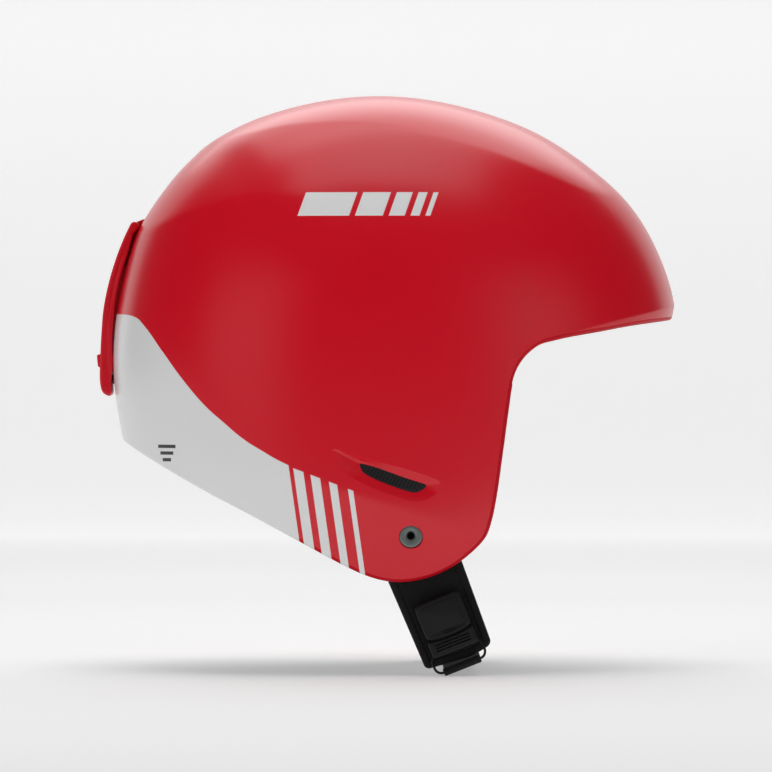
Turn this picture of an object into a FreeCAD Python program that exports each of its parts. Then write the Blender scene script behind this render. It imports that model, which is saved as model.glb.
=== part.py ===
import FreeCAD, Part
import math
import os

# Ski race helmet: a hard shell over two foam liners that turn in each other like a ball in a
# socket, with ear cups, vents, a chin strap with a sliding buckle and a goggle-strap retainer.
# +X is forward, +Y the wearer's left, +Z up. The origin is the centre of the ball. Millimetres.

Vec = FreeCAD.Vector
ORIGIN = Vec(0, 0, 0)
AXIS_X = Vec(1, 0, 0)
AXIS_Y = Vec(0, 1, 0)
AXIS_Z = Vec(0, 0, 1)

# ---------------------------------------------------------------- driving dimensions
HALF_WIDTH = 114.0        # half the shell's width, at its widest
SHELL_WALL = 3.0          # injection-moulded shell
BALL_RADIUS = 106.0       # outside of the inner liner
SOCKET_GAP = 0.4          # between ball and socket
SEAT_GAP = 0.3            # between pieces that lie on each other
CAP_LEVEL = -150.0        # the dome solids end on this plane, below the ears
CUP_FLOOR = -84.0         # the ear foam ends here, above the chin strap

# The shell's outline from the side, where it crosses the middle plane. The points below the
# rear edge and below the brim carry the same dome on, under the ears, where it is cut away.
DOME_OUTLINE = [
    (147.7, 17.7), (139.9, 43.7), (125.3, 68.6), (106.1, 87.4), (78.5, 106.1), (46.8, 118.6),
    (15.6, 125.3), (-15.6, 126.4), (-46.8, 121.7), (-78.0, 110.3), (-94.2, 99.3), (-109.0, 87.0),
    (-123.3, 68.2), (-132.6, 49.1), (-139.9, 25.0), (-143.1, 3.6), (-143.7, -10.9), (-142.5, -29.1),
    (-138.3, -53.6), (-124.9, -104.8), (-76.1, -170.8), (0.0, -198.0), (93.5, -162.0),
    (140.3, -81.0), (147.2, -26.0),
]
ROUNDNESS = 2.3           # exponent of the cross-sections; 2 is an ellipse
ROUNDNESS_DROP = 0.15     # rounder over the crown, squarer round the ears

# Styling ridges, as points (forward, up, height) seen from the side. Each runs over both
# sides of the shell, and the shell rises to it from both sides over RIDGE_REACH.
CROWN_RIDGE = [
    (-95.7, 100.9, 2.2), (-87.0, 102.0, 1.7), (-71.5, 105.0, 1.2), (-50.0, 109.0, 1.1), (-13.5, 109.6, 1.1),
    (19.5, 104.0, 1.2), (52.0, 94.5, 1.5), (81.0, 82.0, 1.5), (99.0, 75.8, 1.1), (112.0, 73.5, 0.6),
    (117.8, 75.5, 0.4),
]
NAPE_RIDGE = [
    (-136.0, 52.0, 1.4), (-112.0, 59.5, 1.9), (-99.0, 64.5, 1.9), (-77.0, 71.0, 1.8), (-64.0, 73.0, 1.5),
    (-51.5, 72.5, 1.0), (-38.5, 70.5, 0.5), (-22.0, 66.5, 0.0),
]
EAR_RIDGE = [
    (-70.0, -54.0, 0.0), (-49.0, -66.5, 0.9), (-15.0, -78.4, 1.7), (25.0, -91.5, 1.8), (47.0, -98.5, 1.8),
]
RIDGE_REACH = 29.0
RIDGE_ROUNDING = 3.0

# The shell's edge seen from the side: brim, cheek, ear and nape, from front to rear.
BRIM_LIP = [(175.0, 24.0), (148.4, 16.8), (146.6, 9.4)]
RIM = [
    (146.6, 9.4), (130.0, 7.3), (112.9, 4.2), (96.2, 1.4), (84.0, -1.0), (75.6, -4.2), (68.0, -10.8),
    (62.9, -20.9), (60.3, -36.0), (57.6, -56.0), (54.6, -76.4), (51.3, -91.5), (46.8, -101.5),
    (36.4, -112.0), (25.4, -118.9), (14.8, -122.5), (3.5, -123.7), (-8.0, -121.8), (-21.7, -116.2),
    (-46.4, -103.0),
    (-70.0, -90.4), (-95.7, -77.4), (-124.9, -61.4), (-138.3, -53.6),
]

# The liners' lower edges, seen from the side, each closed off above the helmet.
OUTER_LINER_EDGE = [
    (170.0, 13.5), (130.0, 11.0), (112.0, 8.0), (96.0, 5.0), (80.0, 1.5), (68.0, -7.0), (57.0, -18.0),
    (51.0, -29.0), (-46.0, -29.0), (-54.0, -42.0), (-64.0, -87.0), (-95.0, -72.5),
    (-125.0, -56.5), (-170.0, -33.0),
]
INNER_LINER_EDGE = [
    (170.0, 16.0), (84.0, 16.0), (52.0, -24.0), (-48.0, -24.0), (-76.0, -42.0), (-170.0, -42.0),
]
EAR_OUTLINE = [
    (49.0, -33.0), (46.0, -60.0), (43.0, CUP_FLOOR), (-42.0, CUP_FLOOR), (-50.0, -74.0), (-45.0, -41.0),
    (-40.0, -33.0),
]

# Head space. The cushions stand inside it.
HEAD_X = 99.0             # half length
HEAD_Y = 82.0             # half breadth
HEAD_UP = 95.0            # to the crown
HEAD_DOWN = 112.0         # the form's reach below, before the liner's edge cuts it
CUSHION = 5.0

# Ear cups, from the shell inwards.
EAR_FOAM_FACE = 92.0      # across, where foam meets cushion
EAR_PAD_FACE = 79.5
EAR_WELL = (2.0, -61.0)   # centre of the hollow for the ear
EAR_WELL_X = 27.0
EAR_WELL_Z = 18.5

# Side vents: a shallow scoop in the shell with a screened opening.
SCOOP_OUTLINE = [
    (-30.5, -54.9), (-27.7, -54.5), (23.6, -71.2), (24.8, -73.7), (15.0, -81.0), (5.0, -79.7),
    (-11.6, -74.2),
    (-21.7, -67.2),
]
SCOOP_DEPTH = 1.4
SCREEN_OUTLINE = [(-15.2, -62.4), (18.0, -73.7), (13.0, -76.7), (-5.1, -72.2), (-14.1, -67.2)]
SCREEN_THICKNESS = 0.8

# Strap anchors: a flanged threaded barrel through the shell, with the strap's eyelet on it.
PIVOT_X = 10.4
PIVOT_Z = -99.3
FLANGE_RADIUS = 5.9
FLANGE_OUT = 105.6        # across, its outer face
FLANGE_IN = 103.4
BARREL_RADIUS = 4.0
BARREL_END = 88.6
THREAD_RADIUS = 2.1       # M5
THREAD_DEPTH = 14.0
HOLE_PLAY = 0.05

# Chin strap. It is drawn hanging straight down from the pivot, then tilted forward.
STRAP_TILT = 21.6
WEB_WIDTH = 20.0
WEB_THICKNESS = 1.2
WEB_PLANE = 91.3          # across, the middle of the webbing
SLEEVE_TOP = 14.0         # distances below the pivot
SLEEVE_END = 67.2
SLEEVE_REACH = 67.8       # its lower corners stay inside this, clear of the webbing as it slides
SLEEVE_TOP_WIDTH = 38.8
SLEEVE_END_WIDTH = 33.4
SLEEVE_OUT = 93.9         # across, its outer and inner faces
SLEEVE_IN = 88.7
SOCKET_TOP = 34.2
SOCKET_END = 53.8
SOCKET_WIDTH = 24.0
LATCH_END = 62.4
LATCH_WIDTH = 24.6
BUCKLE_OUT = 101.6
BUCKLE_IN = 94.3
RAIL_PLANE = 98.0         # across, the middle of the latch's T-shaped tongue
BAIL_WIDTH = 28.4
BAIL_WIRE = 0.65
BAIL_PLANE = 96.6
BAIL_TOP = 60.6
BAIL_BAR = 70.6

# Goggle-strap retainer at the back: an arm hinged at its top, with a stud at its foot.
HINGE_X = -132.3
HINGE_Z = 58.9
KNUCKLE_RADIUS = 2.3
PIN_RADIUS = 1.0
ARM_HALF_WIDTH = 16.0
LUG_HALF_WIDTH = 6.0
ARM_OUTER_EDGE = [
    (-134.4, 59.8), (-137.9, 52.5), (-142.1, 41.6), (-145.8, 29.1), (-148.4, 16.1), (-149.5, 3.6),
    (-150.1, -8.0),
    (-150.4, -19.0), (-149.9, -24.5),
]
ARM_FOOT = [(-149.9, -24.5), (-148.6, -27.6), (-145.6, -29.3), (-144.2, -28.2), (-144.1, -25.5)]
ARM_INNER_EDGE = [
    (-144.1, -25.5), (-144.9, -15.0), (-145.8, -3.6), (-145.4, 7.3), (-144.5, 16.0), (-142.4, 28.5),
    (-138.5, 42.1),
    (-133.9, 53.0), (-130.6, 57.4),
]
TAB_OUTLINE = [(-148.0, -7.2), (-152.2, -7.6), (-151.6, -14.2), (-148.0, -14.6)]
TAB_HALF_WIDTH = 10.0
STUD_Z = -20.5
STUD_RADIUS = 2.3
STUD_LENGTH = 3.0
FOOT_THICKNESS = 1.2
BED_HALF_WIDTH = 12.0     # the strap bed below the foot, that the arm closes on
BED_OUTLINE = [
    (-138.8, 38.0), (-139.6, 35.5), (-141.4, 28.3), (-143.5, 15.9), (-144.4, 7.2), (-144.75, -3.6),
    (-144.3, -10.5), (-143.3, -14.0), (-130.0, -14.0), (-130.0, 38.0),
]
FOOT_LOW = 37.0
FOOT_HIGH = 61.0
RIVET_HEIGHTS = (42.0, 49.5)
RIVET_RADIUS = 1.2

# Slip disc at the crown, between the two liners.
DISC_RADIUS = 14.0
DISC_THICKNESS = 2.0


# ---------------------------------------------------------------- the dome's surface
def periodic_spline(angles, values):
    """A smooth closed curve of value over angle, in degrees, through the given points."""
    n = len(angles)
    step = [(angles[(i + 1) % n] - angles[i]) % 360.0 for i in range(n)]
    rows = []
    for i in range(n):
        before, after = step[i - 1], step[i]
        row = [0.0] * (n + 1)
        row[(i - 1) % n] += before
        row[i] += 2 * (before + after)
        row[(i + 1) % n] += after
        rise_after = (values[(i + 1) % n] - values[i]) / after
        rise_before = (values[i] - values[i - 1]) / before
        row[n] = 6 * (rise_after - rise_before)
        rows.append(row)
    for i in range(n):
        pivot = max(range(i, n), key=lambda r: abs(rows[r][i]))
        rows[i], rows[pivot] = rows[pivot], rows[i]
        for r in range(n):
            if r != i and rows[r][i]:
                share = rows[r][i] / rows[i][i]
                rows[r] = [a - share * b for a, b in zip(rows[r], rows[i])]
    bend = [rows[i][n] / rows[i][i] for i in range(n)]

    def value(angle):
        angle %= 360.0
        i = max((k for k in range(n) if angles[k] <= angle), default=n - 1)
        span = step[i]
        t = ((angle - angles[i]) % 360.0) / span
        j = (i + 1) % n
        curve = (t ** 3 - t) * bend[j] + ((1 - t) ** 3 - (1 - t)) * bend[i]
        return t * values[j] + (1 - t) * values[i] + span * span * curve / 6

    return value


OUTLINE_ANGLES = [math.degrees(math.atan2(z, x)) % 360.0 for x, z in DOME_OUTLINE]
outline_radius = periodic_spline(OUTLINE_ANGLES, [math.hypot(x, z) for x, z in DOME_OUTLINE])


def roundness(angle):
    return ROUNDNESS - ROUNDNESS_DROP * math.sin(math.radians(angle))


def dome_measure(p):
    """1 on the smooth dome, less inside it and more outside it."""
    angle = math.degrees(math.atan2(p.z, p.x))
    n = roundness(angle)
    reach = math.hypot(p.x, p.z) / outline_radius(angle)
    return (reach ** n + (abs(p.y) / HALF_WIDTH) ** n) ** (1.0 / n)


def dome_half_width(x, z):
    """How far out the smooth dome is, at a place seen from the side."""
    angle = math.degrees(math.atan2(z, x))
    n = roundness(angle)
    reach = math.hypot(x, z) / outline_radius(angle)
    return HALF_WIDTH * (1 - reach ** n) ** (1.0 / n) if reach < 1 else 0.0


def ridge_line(points):
    """The ridge as (direction, height) pairs on the left side, four steps to a point."""
    line = []
    for i in range(len(points) - 1):
        a, b = points[max(i - 1, 0)], points[i]
        c, d = points[i + 1], points[min(i + 2, len(points) - 1)]
        for step in range(4):
            t = step / 4.0
            place = [
                0.5 * (2 * q + (r - p) * t + (2 * p - 5 * q + 4 * r - s) * t * t
                       + (3 * q - p - 3 * r + s) * t ** 3)
                for p, q, r, s in zip(a, b, c, d)
            ]
            line.append(place)
    line.append(list(points[-1]))
    made = []
    for x, z, height in line:
        made.append((Vec(x, dome_half_width(x, z), z).normalize(), height))
    return made


RIDGES = [ridge_line(points) for points in (CROWN_RIDGE, NAPE_RIDGE, EAR_RIDGE)]


def ridge_height(direction):
    """How far the ridges lift the shell in that direction."""
    d = Vec(direction.x, abs(direction.y), direction.z)
    total = 0.0
    for line in RIDGES:
        nearest, height = 9.0, 0.0
        for (a, height_a), (b, height_b) in zip(line, line[1:]):
            along = b - a
            t = max(0.0, min(1.0, (d - a).dot(along) / along.dot(along)))
            away = (d - a - along * t).Length
            if away < nearest:
                nearest, height = away, height_a + (height_b - height_a) * t
        away = math.hypot(nearest * BALL_RADIUS, RIDGE_ROUNDING) - RIDGE_ROUNDING
        total += height * max(0.0, 1 - away / RIDGE_REACH) ** 2
    return total


def dome_point(direction, inset, ridged):
    """Where the dome, or the surface that lies inset inside it, is in about that direction."""
    p = direction * (1.0 / dome_measure(direction))
    if ridged:
        p = p + direction * ridge_height(direction)
    if inset:
        h = 0.5
        slope = Vec(
            dome_measure(p + AXIS_X * h) - dome_measure(p - AXIS_X * h),
            dome_measure(p + AXIS_Y * h) - dome_measure(p - AXIS_Y * h),
            dome_measure(p + AXIS_Z * h) - dome_measure(p - AXIS_Z * h),
        )
        p = p - slope.normalize() * inset
    return p


def dome_solid(inset, ridged, count):
    """A closed dome, count by count points, flat below at CAP_LEVEL."""
    def aim(tilt, turn):
        return Vec(math.sin(tilt) * math.cos(turn), math.sin(tilt) * math.sin(turn), math.cos(tilt))

    def lowest_tilt(turn):
        low, high = math.radians(95), math.radians(178)
        for _ in range(30):
            middle = (low + high) / 2
            if dome_point(aim(middle, turn), inset, False).z > CAP_LEVEL:
                low = middle
            else:
                high = middle
        return low

    grid = []
    for i in range(count):
        row = []
        s = 2.0 * i / (count - 1) - 1
        for j in range(count):
            t = 2.0 * j / (count - 1) - 1
            a, b = s * math.sqrt(1 - t * t / 2), t * math.sqrt(1 - s * s / 2)
            turn = math.atan2(b, a)
            p = dome_point(aim(math.hypot(a, b) * lowest_tilt(turn), turn), inset, ridged)
            if i in (0, count - 1) or j in (0, count - 1):
                p.z = CAP_LEVEL
            row.append(p)
        grid.append(row)
    surface = Part.BSplineSurface()
    surface.interpolate(grid)
    side = surface.toShape()
    cap = Part.Face(Part.Wire(Part.__sortEdges__(side.Edges)))
    solid = Part.makeSolid(Part.makeShell([side, cap]))
    if solid.Volume < 0:
        solid.reverse()
    return solid


# ---------------------------------------------------------------- small shape helpers
def side_prism(points, low, high):
    """The outline, seen from the side, run across from y = low to y = high."""
    corners = [Vec(x, low, z) for x, z in points]
    face = Part.Face(Part.makePolygon(corners + corners[:1]))
    return face.extrude(Vec(0, high - low, 0))


def rod(x, z, radius, low, high):
    return Part.makeCylinder(radius, high - low, Vec(x, low, z), AXIS_Y)


def ring(x, z, outer, inner, low, high):
    return rod(x, z, outer, low, high).cut(rod(x, z, inner, low - 1, high + 1))


def ellipsoid(a, b, c):
    matrix = FreeCAD.Matrix()
    matrix.scale(a, b, c)
    return Part.makeSphere(1.0).transformGeometry(matrix)


def spline_edge(points, y):
    curve = Part.BSplineCurve()
    curve.interpolate([Vec(x, y, z) for x, z in points])
    return curve.toShape()


def single(shape):
    """The largest solid of a cut, so that no crumb stays with it."""
    return max(shape.Solids, key=lambda s: s.Volume)


def mirrored(shape):
    return shape.mirror(ORIGIN, AXIS_Y)


def rounded(shape, radius, wanted):
    """Fillets the edges for which wanted(edge) is true, one by one where they fail together."""
    edges = [e for e in shape.Edges if wanted(e)]
    try:
        made = shape.makeFillet(radius, edges)
        if made.isValid() and made.Solids:
            return made
    except Exception:
        pass
    return shape


def along_y(edge):
    a, b = edge.Vertexes[0].Point, edge.Vertexes[-1].Point
    return abs(a.x - b.x) < 1e-6 and abs(a.z - b.z) < 1e-6 and abs(a.y - b.y) > 1e-3


def hang(shape):
    """Takes a piece drawn straight below the world origin to the tilted strap."""
    shape = shape.copy()
    shape.rotate(ORIGIN, AXIS_Y, -STRAP_TILT)
    shape.translate(Vec(PIVOT_X, 0, PIVOT_Z))
    return shape


def strap_block(top, end, width, low, high):
    return Part.makeBox(width, high - low, end - top, Vec(-width / 2, low, -end))


parts = {}


# ---------------------------------------------------------------- shell
dome = dome_solid(0, True, 57)
dome_inside = dome_solid(SHELL_WALL, False, 33)
dome_seat = dome_solid(SHELL_WALL + SEAT_GAP, False, 33)
scoop_floor = dome_solid(SCOOP_DEPTH, False, 33)
screen_floor = dome_solid(SCOOP_DEPTH + 0.1 + SCREEN_THICKNESS, False, 33)
screen_face = dome_solid(SCOOP_DEPTH + 0.1, False, 33)

lip = Part.makePolygon([Vec(x, -140, z) for x, z in BRIM_LIP])
far_corners = [RIM[-1], (-175.0, -32.0), (-175.0, 175.0), (175.0, 175.0), BRIM_LIP[0]]
closing = Part.makePolygon([Vec(x, -140, z) for x, z in far_corners])
outline = Part.Wire(lip.Edges + [spline_edge(RIM, -140)] + closing.Edges)
shell = dome.common(Part.Face(outline).extrude(Vec(0, 280, 0))).cut(dome_inside)
scoop = side_prism(SCOOP_OUTLINE, -130, -60).cut(scoop_floor)
opening = side_prism(SCREEN_OUTLINE, -130, -60)
for side in (scoop, opening, mirrored(scoop), mirrored(opening)):
    shell = shell.cut(side)
for sign in (-1, 1):
    low, high = sorted((sign * 80.0, sign * 130.0))
    shell = shell.cut(rod(PIVOT_X, PIVOT_Z, BARREL_RADIUS + HOLE_PLAY, low, high))
    low, high = sorted((sign * FLANGE_IN, sign * 130.0))
    shell = shell.cut(rod(PIVOT_X, PIVOT_Z, FLANGE_RADIUS + 0.15, low, high))
shell = shell.cut(rod(HINGE_X, HINGE_Z, KNUCKLE_RADIUS + 0.5, -ARM_HALF_WIDTH - 1, ARM_HALF_WIDTH + 1))


# ---------------------------------------------------------------- goggle-strap retainer
def outward(z):
    """A place on the shell's rear middle line at that height, and the way out from it."""
    low, high = -170.0, -90.0
    for _ in range(40):
        middle = (low + high) / 2
        inside = dome_measure(Vec(middle, 0, z)) < 1
        low, high = (low, middle) if inside else (middle, high)
    x = (low + high) / 2
    h = 0.5
    slope = Vec(
        dome_measure(Vec(x + h, 0, z)) - dome_measure(Vec(x - h, 0, z)),
        0,
        dome_measure(Vec(x, 0, z + h)) - dome_measure(Vec(x, 0, z - h)),
    )
    return Vec(x, 0, z), slope.normalize()


knuckle_line = (ARM_INNER_EDGE[-1], ARM_OUTER_EDGE[0])
arm_wire = Part.Wire(
    [spline_edge(ARM_OUTER_EDGE, -ARM_HALF_WIDTH)]
    + Part.makePolygon([Vec(x, -ARM_HALF_WIDTH, z) for x, z in ARM_FOOT]).Edges
    + [spline_edge(ARM_INNER_EDGE, -ARM_HALF_WIDTH)]
    + Part.makePolygon([Vec(x, -ARM_HALF_WIDTH, z) for x, z in knuckle_line]).Edges
)
arm = Part.Face(arm_wire).extrude(Vec(0, 2 * ARM_HALF_WIDTH, 0))
arm = arm.fuse(rod(HINGE_X, HINGE_Z, KNUCKLE_RADIUS, -ARM_HALF_WIDTH, ARM_HALF_WIDTH))
arm = arm.fuse(side_prism(TAB_OUTLINE, -TAB_HALF_WIDTH, TAB_HALF_WIDTH))
arm = arm.cut(rod(HINGE_X, HINGE_Z, 6.5, -LUG_HALF_WIDTH - 0.3, LUG_HALF_WIDTH + 0.3))
arm = arm.cut(rod(HINGE_X, HINGE_Z, PIN_RADIUS, -ARM_HALF_WIDTH - 1, ARM_HALF_WIDTH + 1))
taper = Part.Face(Part.makePolygon([
    Vec(-170, -ARM_HALF_WIDTH + 2.5, -35), Vec(-170, -ARM_HALF_WIDTH, 45),
    Vec(-170, -ARM_HALF_WIDTH - 5, 45),
    Vec(-170, -ARM_HALF_WIDTH - 5, -35), Vec(-170, -ARM_HALF_WIDTH + 2.5, -35),
])).extrude(Vec(60, 0, 0))
arm = arm.cut(taper).cut(mirrored(taper))

seat, _ = outward(STUD_Z)
swing = Vec(HINGE_Z - STUD_Z, 0, seat.x - HINGE_X).normalize() * -1
stud = Part.makeCylinder(STUD_RADIUS, STUD_LENGTH + 4, seat - swing * 4, swing)
arm = arm.cut(Part.makeCylinder(STUD_RADIUS + 0.35, STUD_LENGTH + 0.6, seat, swing))
shell = shell.cut(stud)

foot_layer = dome_solid(-FOOT_THICKNESS, True, 57).cut(dome)
foot = foot_layer.common(
    Part.makeBox(60, 2 * LUG_HALF_WIDTH, FOOT_HIGH - FOOT_LOW, Vec(-170, -LUG_HALF_WIDTH, FOOT_LOW))
)
lug = rod(HINGE_X, HINGE_Z, KNUCKLE_RADIUS, -LUG_HALF_WIDTH, LUG_HALF_WIDTH)
web_outline = [(-134.0, 60.4), (-127.0, 63.0), (-128.0, 54.0), (-133.6, 57.0)]
web = side_prism(web_outline, -LUG_HALF_WIDTH, LUG_HALF_WIDTH)
bed = side_prism(BED_OUTLINE, -BED_HALF_WIDTH, BED_HALF_WIDTH)
base = foot.fuse(lug).fuse(web.cut(dome)).fuse(bed.cut(dome)).cut(dome)
base = base.cut(rod(HINGE_X, HINGE_Z, PIN_RADIUS + HOLE_PLAY, -20, 20))
rivets = None
for height in RIVET_HEIGHTS:
    place, out = outward(height)
    shank = Part.makeCylinder(RIVET_RADIUS, 6.4, place - out * 4.4, out)
    head = Part.makeCylinder(2 * RIVET_RADIUS, 0.7, place + out * 1.75, out)
    tail = Part.makeCylinder(1.7 * RIVET_RADIUS, 0.9, place - out * 4.5, out)
    rivet = shank.fuse(head).fuse(tail)
    shell = shell.cut(rivet)
    base = base.cut(rivet)
    pocket = Part.makeCylinder(1.7 * RIVET_RADIUS + 0.3, 2.2, place - out * 5.4, out)
    rivets = (rivets or []) + [(rivet, pocket)]

parts["outer_shell"] = single(shell)
parts["retainer_arm"] = single(arm)
parts["retainer_pin"] = rod(HINGE_X, HINGE_Z, PIN_RADIUS, -ARM_HALF_WIDTH, ARM_HALF_WIDTH)
parts["retainer_base"] = single(base)
parts["retainer_stud"] = stud.cut(dome_inside)
parts["upper_rivet"] = rivets[1][0]
parts["lower_rivet"] = rivets[0][0]


# ---------------------------------------------------------------- liners and cushions
def head_form(shrink):
    upper = ellipsoid(HEAD_X - shrink, HEAD_Y - shrink, HEAD_UP - shrink)
    lower = ellipsoid(HEAD_X - shrink, HEAD_Y - shrink, HEAD_DOWN - shrink)
    upper = upper.common(Part.makeBox(400, 400, 200, Vec(-200, -200, 0)))
    lower = lower.common(Part.makeBox(400, 400, 200, Vec(-200, -200, -200)))
    return upper.fuse(lower)


def above(edge):
    return side_prism(edge + [(-170.0, 170.0), (170.0, 170.0)], -140, 140)


neck = Part.makeCylinder(1.0, 1.0)
stretch = FreeCAD.Matrix()
stretch.scale(HEAD_X, HEAD_Y, 150.0)
neck = neck.transformGeometry(stretch)
neck.translate(Vec(0, 0, -150))

outer_liner = dome_seat.common(above(OUTER_LINER_EDGE))
outer_liner = outer_liner.cut(Part.makeSphere(BALL_RADIUS + SOCKET_GAP)).cut(neck)
outer_liner = outer_liner.cut(Part.makeCylinder(DISC_RADIUS + 0.5, 10, Vec(0, 0, 99), AXIS_Z))
for _, pocket in rivets:
    outer_liner = outer_liner.cut(pocket)
parts["outer_liner"] = single(outer_liner)
disc_foot = Vec(0, 0, BALL_RADIUS + SEAT_GAP)
parts["slip_disc"] = Part.makeCylinder(DISC_RADIUS, DISC_THICKNESS, disc_foot, AXIS_Z)

cavity = head_form(0)
inner_liner = Part.makeSphere(BALL_RADIUS).common(above(INNER_LINER_EDGE)).cut(cavity)
parts["inner_liner"] = single(inner_liner)

cushions = head_form(SEAT_GAP).cut(head_form(SEAT_GAP + CUSHION))
parts["crown_pad"] = single(cushions.common(Part.makeCylinder(42, 120)))
parts["brow_pad"] = single(cushions.common(Part.makeBox(80, 124, 28, Vec(40, -62, 22))))
parts["rear_pad"] = single(cushions.common(Part.makeBox(70, 108, 40, Vec(-115, -54, -34))))
side_pad = cushions.common(Part.makeBox(84, 60, 44, Vec(-40, 50, -18)))
parts["left_side_pad"] = single(side_pad)
parts["right_side_pad"] = mirrored(single(side_pad))


# ---------------------------------------------------------------- ear cups and vents
def ear_well(grow):
    matrix = FreeCAD.Matrix()
    matrix.scale(EAR_WELL_X + grow, 1.0, EAR_WELL_Z + grow)
    well = Part.makeCylinder(1.0, 140.0, ORIGIN, AXIS_Y).transformGeometry(matrix)
    well.translate(Vec(EAR_WELL[0], 0, EAR_WELL[1]))
    return well


ear_block = side_prism(EAR_OUTLINE, EAR_FOAM_FACE, 130)
ear_foam = ear_block.common(dome_seat).cut(ear_well(-5)).cut(Part.makeSphere(BALL_RADIUS + 1.5))
ear_pad = side_prism(EAR_OUTLINE, EAR_PAD_FACE, EAR_FOAM_FACE - SEAT_GAP)
ear_pad = rounded(ear_pad, 8.0, along_y).cut(ear_well(0))
screen = side_prism(SCREEN_OUTLINE, 60, 130).common(screen_face).cut(screen_floor)
ear_pieces = {"ear_foam": single(ear_foam), "ear_pad": single(ear_pad), "vent_screen": single(screen)}
for name, shape in ear_pieces.items():
    parts["left_" + name] = shape
    parts["right_" + name] = mirrored(shape)


# ---------------------------------------------------------------- strap anchors
barrel = rod(PIVOT_X, PIVOT_Z, FLANGE_RADIUS, FLANGE_IN, FLANGE_OUT)
barrel = barrel.fuse(rod(PIVOT_X, PIVOT_Z, BARREL_RADIUS, BARREL_END, FLANGE_OUT))
barrel = barrel.cut(rod(PIVOT_X, PIVOT_Z, THREAD_RADIUS, FLANGE_OUT - THREAD_DEPTH, FLANGE_OUT + 1))
spacer = ring(PIVOT_X, PIVOT_Z, 6.2, BARREL_RADIUS + HOLE_PLAY, WEB_PLANE + 1.0, 99.4)
nut = ring(PIVOT_X, PIVOT_Z, 6.2, BARREL_RADIUS, BARREL_END, WEB_PLANE - 1.0)
eyelet = ring(0, 0, 9.0, BARREL_RADIUS + HOLE_PLAY, WEB_PLANE - 0.8, WEB_PLANE + 0.8)
tongue = strap_block(0, 17.0, 23.0, WEB_PLANE - 0.8, WEB_PLANE + 0.8)
tongue = rounded(tongue, 2.0, along_y).cut(rod(0, 0, BARREL_RADIUS + HOLE_PLAY, 80, 100))
eyelet = eyelet.fuse(tongue).cut(strap_block(11.6, 14.4, 20.6, 80, 100))
anchor = {"anchor_barrel": barrel, "anchor_spacer": spacer, "anchor_nut": nut, "eyelet": hang(eyelet)}
for name, shape in anchor.items():
    parts["left_" + name] = shape
    parts["right_" + name] = mirrored(shape)


# ---------------------------------------------------------------- chin strap
def strap_mirror(shape):
    """A piece drawn below the origin on the left, put on the right."""
    return mirrored(hang(shape))


sleeve = side_prism(
    [(-SLEEVE_TOP_WIDTH / 2, -SLEEVE_TOP), (SLEEVE_TOP_WIDTH / 2, -SLEEVE_TOP),
     (SLEEVE_END_WIDTH / 2, -SLEEVE_END), (-SLEEVE_END_WIDTH / 2, -SLEEVE_END)], SLEEVE_IN, SLEEVE_OUT)
sleeve = rounded(sleeve, 3.0, along_y)
sleeve = sleeve.common(rod(0, 0, SLEEVE_REACH, 60, 120))
slot = strap_block(0, 80, 24.0, WEB_PLANE - 1.1, WEB_PLANE + 1.1)
fold_room = strap_block(0, 19.0, 24.0, WEB_PLANE - 2.0, WEB_PLANE + 2.0)
sleeve = sleeve.cut(slot).cut(fold_room)
window = strap_block(37.0, 51.0, 17.0, WEB_PLANE, SLEEVE_OUT + 1)
parts["left_sleeve"] = hang(sleeve)
parts["right_sleeve"] = strap_mirror(sleeve.cut(window))

# The webbing passes through the eyelet's slot and is folded back on itself.
half_web = WEB_THICKNESS / 2
right_web = strap_block(17.4, 52.0, WEB_WIDTH, WEB_PLANE - half_web, WEB_PLANE + half_web)
loop_front = strap_block(12.4, 17.4, WEB_WIDTH, WEB_PLANE + 0.9, WEB_PLANE + 0.9 + 0.7)
loop_over = strap_block(12.4, 13.6, WEB_WIDTH, WEB_PLANE - 1.6, WEB_PLANE + 1.6)
loop_back = strap_block(12.4, 17.4, WEB_WIDTH, WEB_PLANE - 1.6, WEB_PLANE - 0.9)
loop_join = strap_block(17.3, 18.4, WEB_WIDTH, WEB_PLANE - 1.6, WEB_PLANE + 1.6)
web_loop = loop_front.fuse(loop_over).fuse(loop_back).fuse(loop_join)
parts["right_webbing"] = strap_mirror(right_web.fuse(web_loop).removeSplitter())

# The chin webbing: up the left side, across under the chin and round the bail's lower bar.
low_face = BAIL_BAR + BAIL_WIRE + 0.15 + WEB_THICKNESS
top_face = BAIL_BAR - BAIL_WIRE - 0.15 - WEB_THICKNESS
left_run = strap_block(17.4, low_face, WEB_WIDTH, WEB_PLANE - half_web, WEB_PLANE + half_web)
across = strap_block(low_face - WEB_THICKNESS, low_face, WEB_WIDTH, -BAIL_PLANE, WEB_PLANE + half_web)
return_run = strap_block(top_face, top_face + WEB_THICKNESS, WEB_WIDTH, -BAIL_PLANE, -BAIL_PLANE + 24.0)
turn_centre = Vec(-WEB_WIDTH / 2, -BAIL_PLANE, -BAIL_BAR)
turn_radius = BAIL_WIRE + 0.15
turn = Part.makeCylinder(turn_radius + WEB_THICKNESS, WEB_WIDTH, turn_centre, AXIS_X)
turn = turn.cut(Part.makeCylinder(turn_radius, WEB_WIDTH, turn_centre, AXIS_X))
turn = turn.common(Part.makeBox(60, 20, 20, Vec(-30, -BAIL_PLANE - 20, -BAIL_BAR - 10)))
chin_web = left_run.fuse(web_loop).fuse(across).fuse(return_run).fuse(turn).removeSplitter()
parts["chin_webbing"] = hang(chin_web)


# ---------------------------------------------------------------- buckle
def arc_band(inner, outer, width, low, high):
    """A band round the pivot's axis, below it, cut off square at both ends."""
    band = rod(0, 0, outer, low, high).cut(rod(0, 0, inner, low - 1, high + 1))
    return band.common(Part.makeBox(width, 40, 80, Vec(-width / 2, low - 5, -80)))


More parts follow.
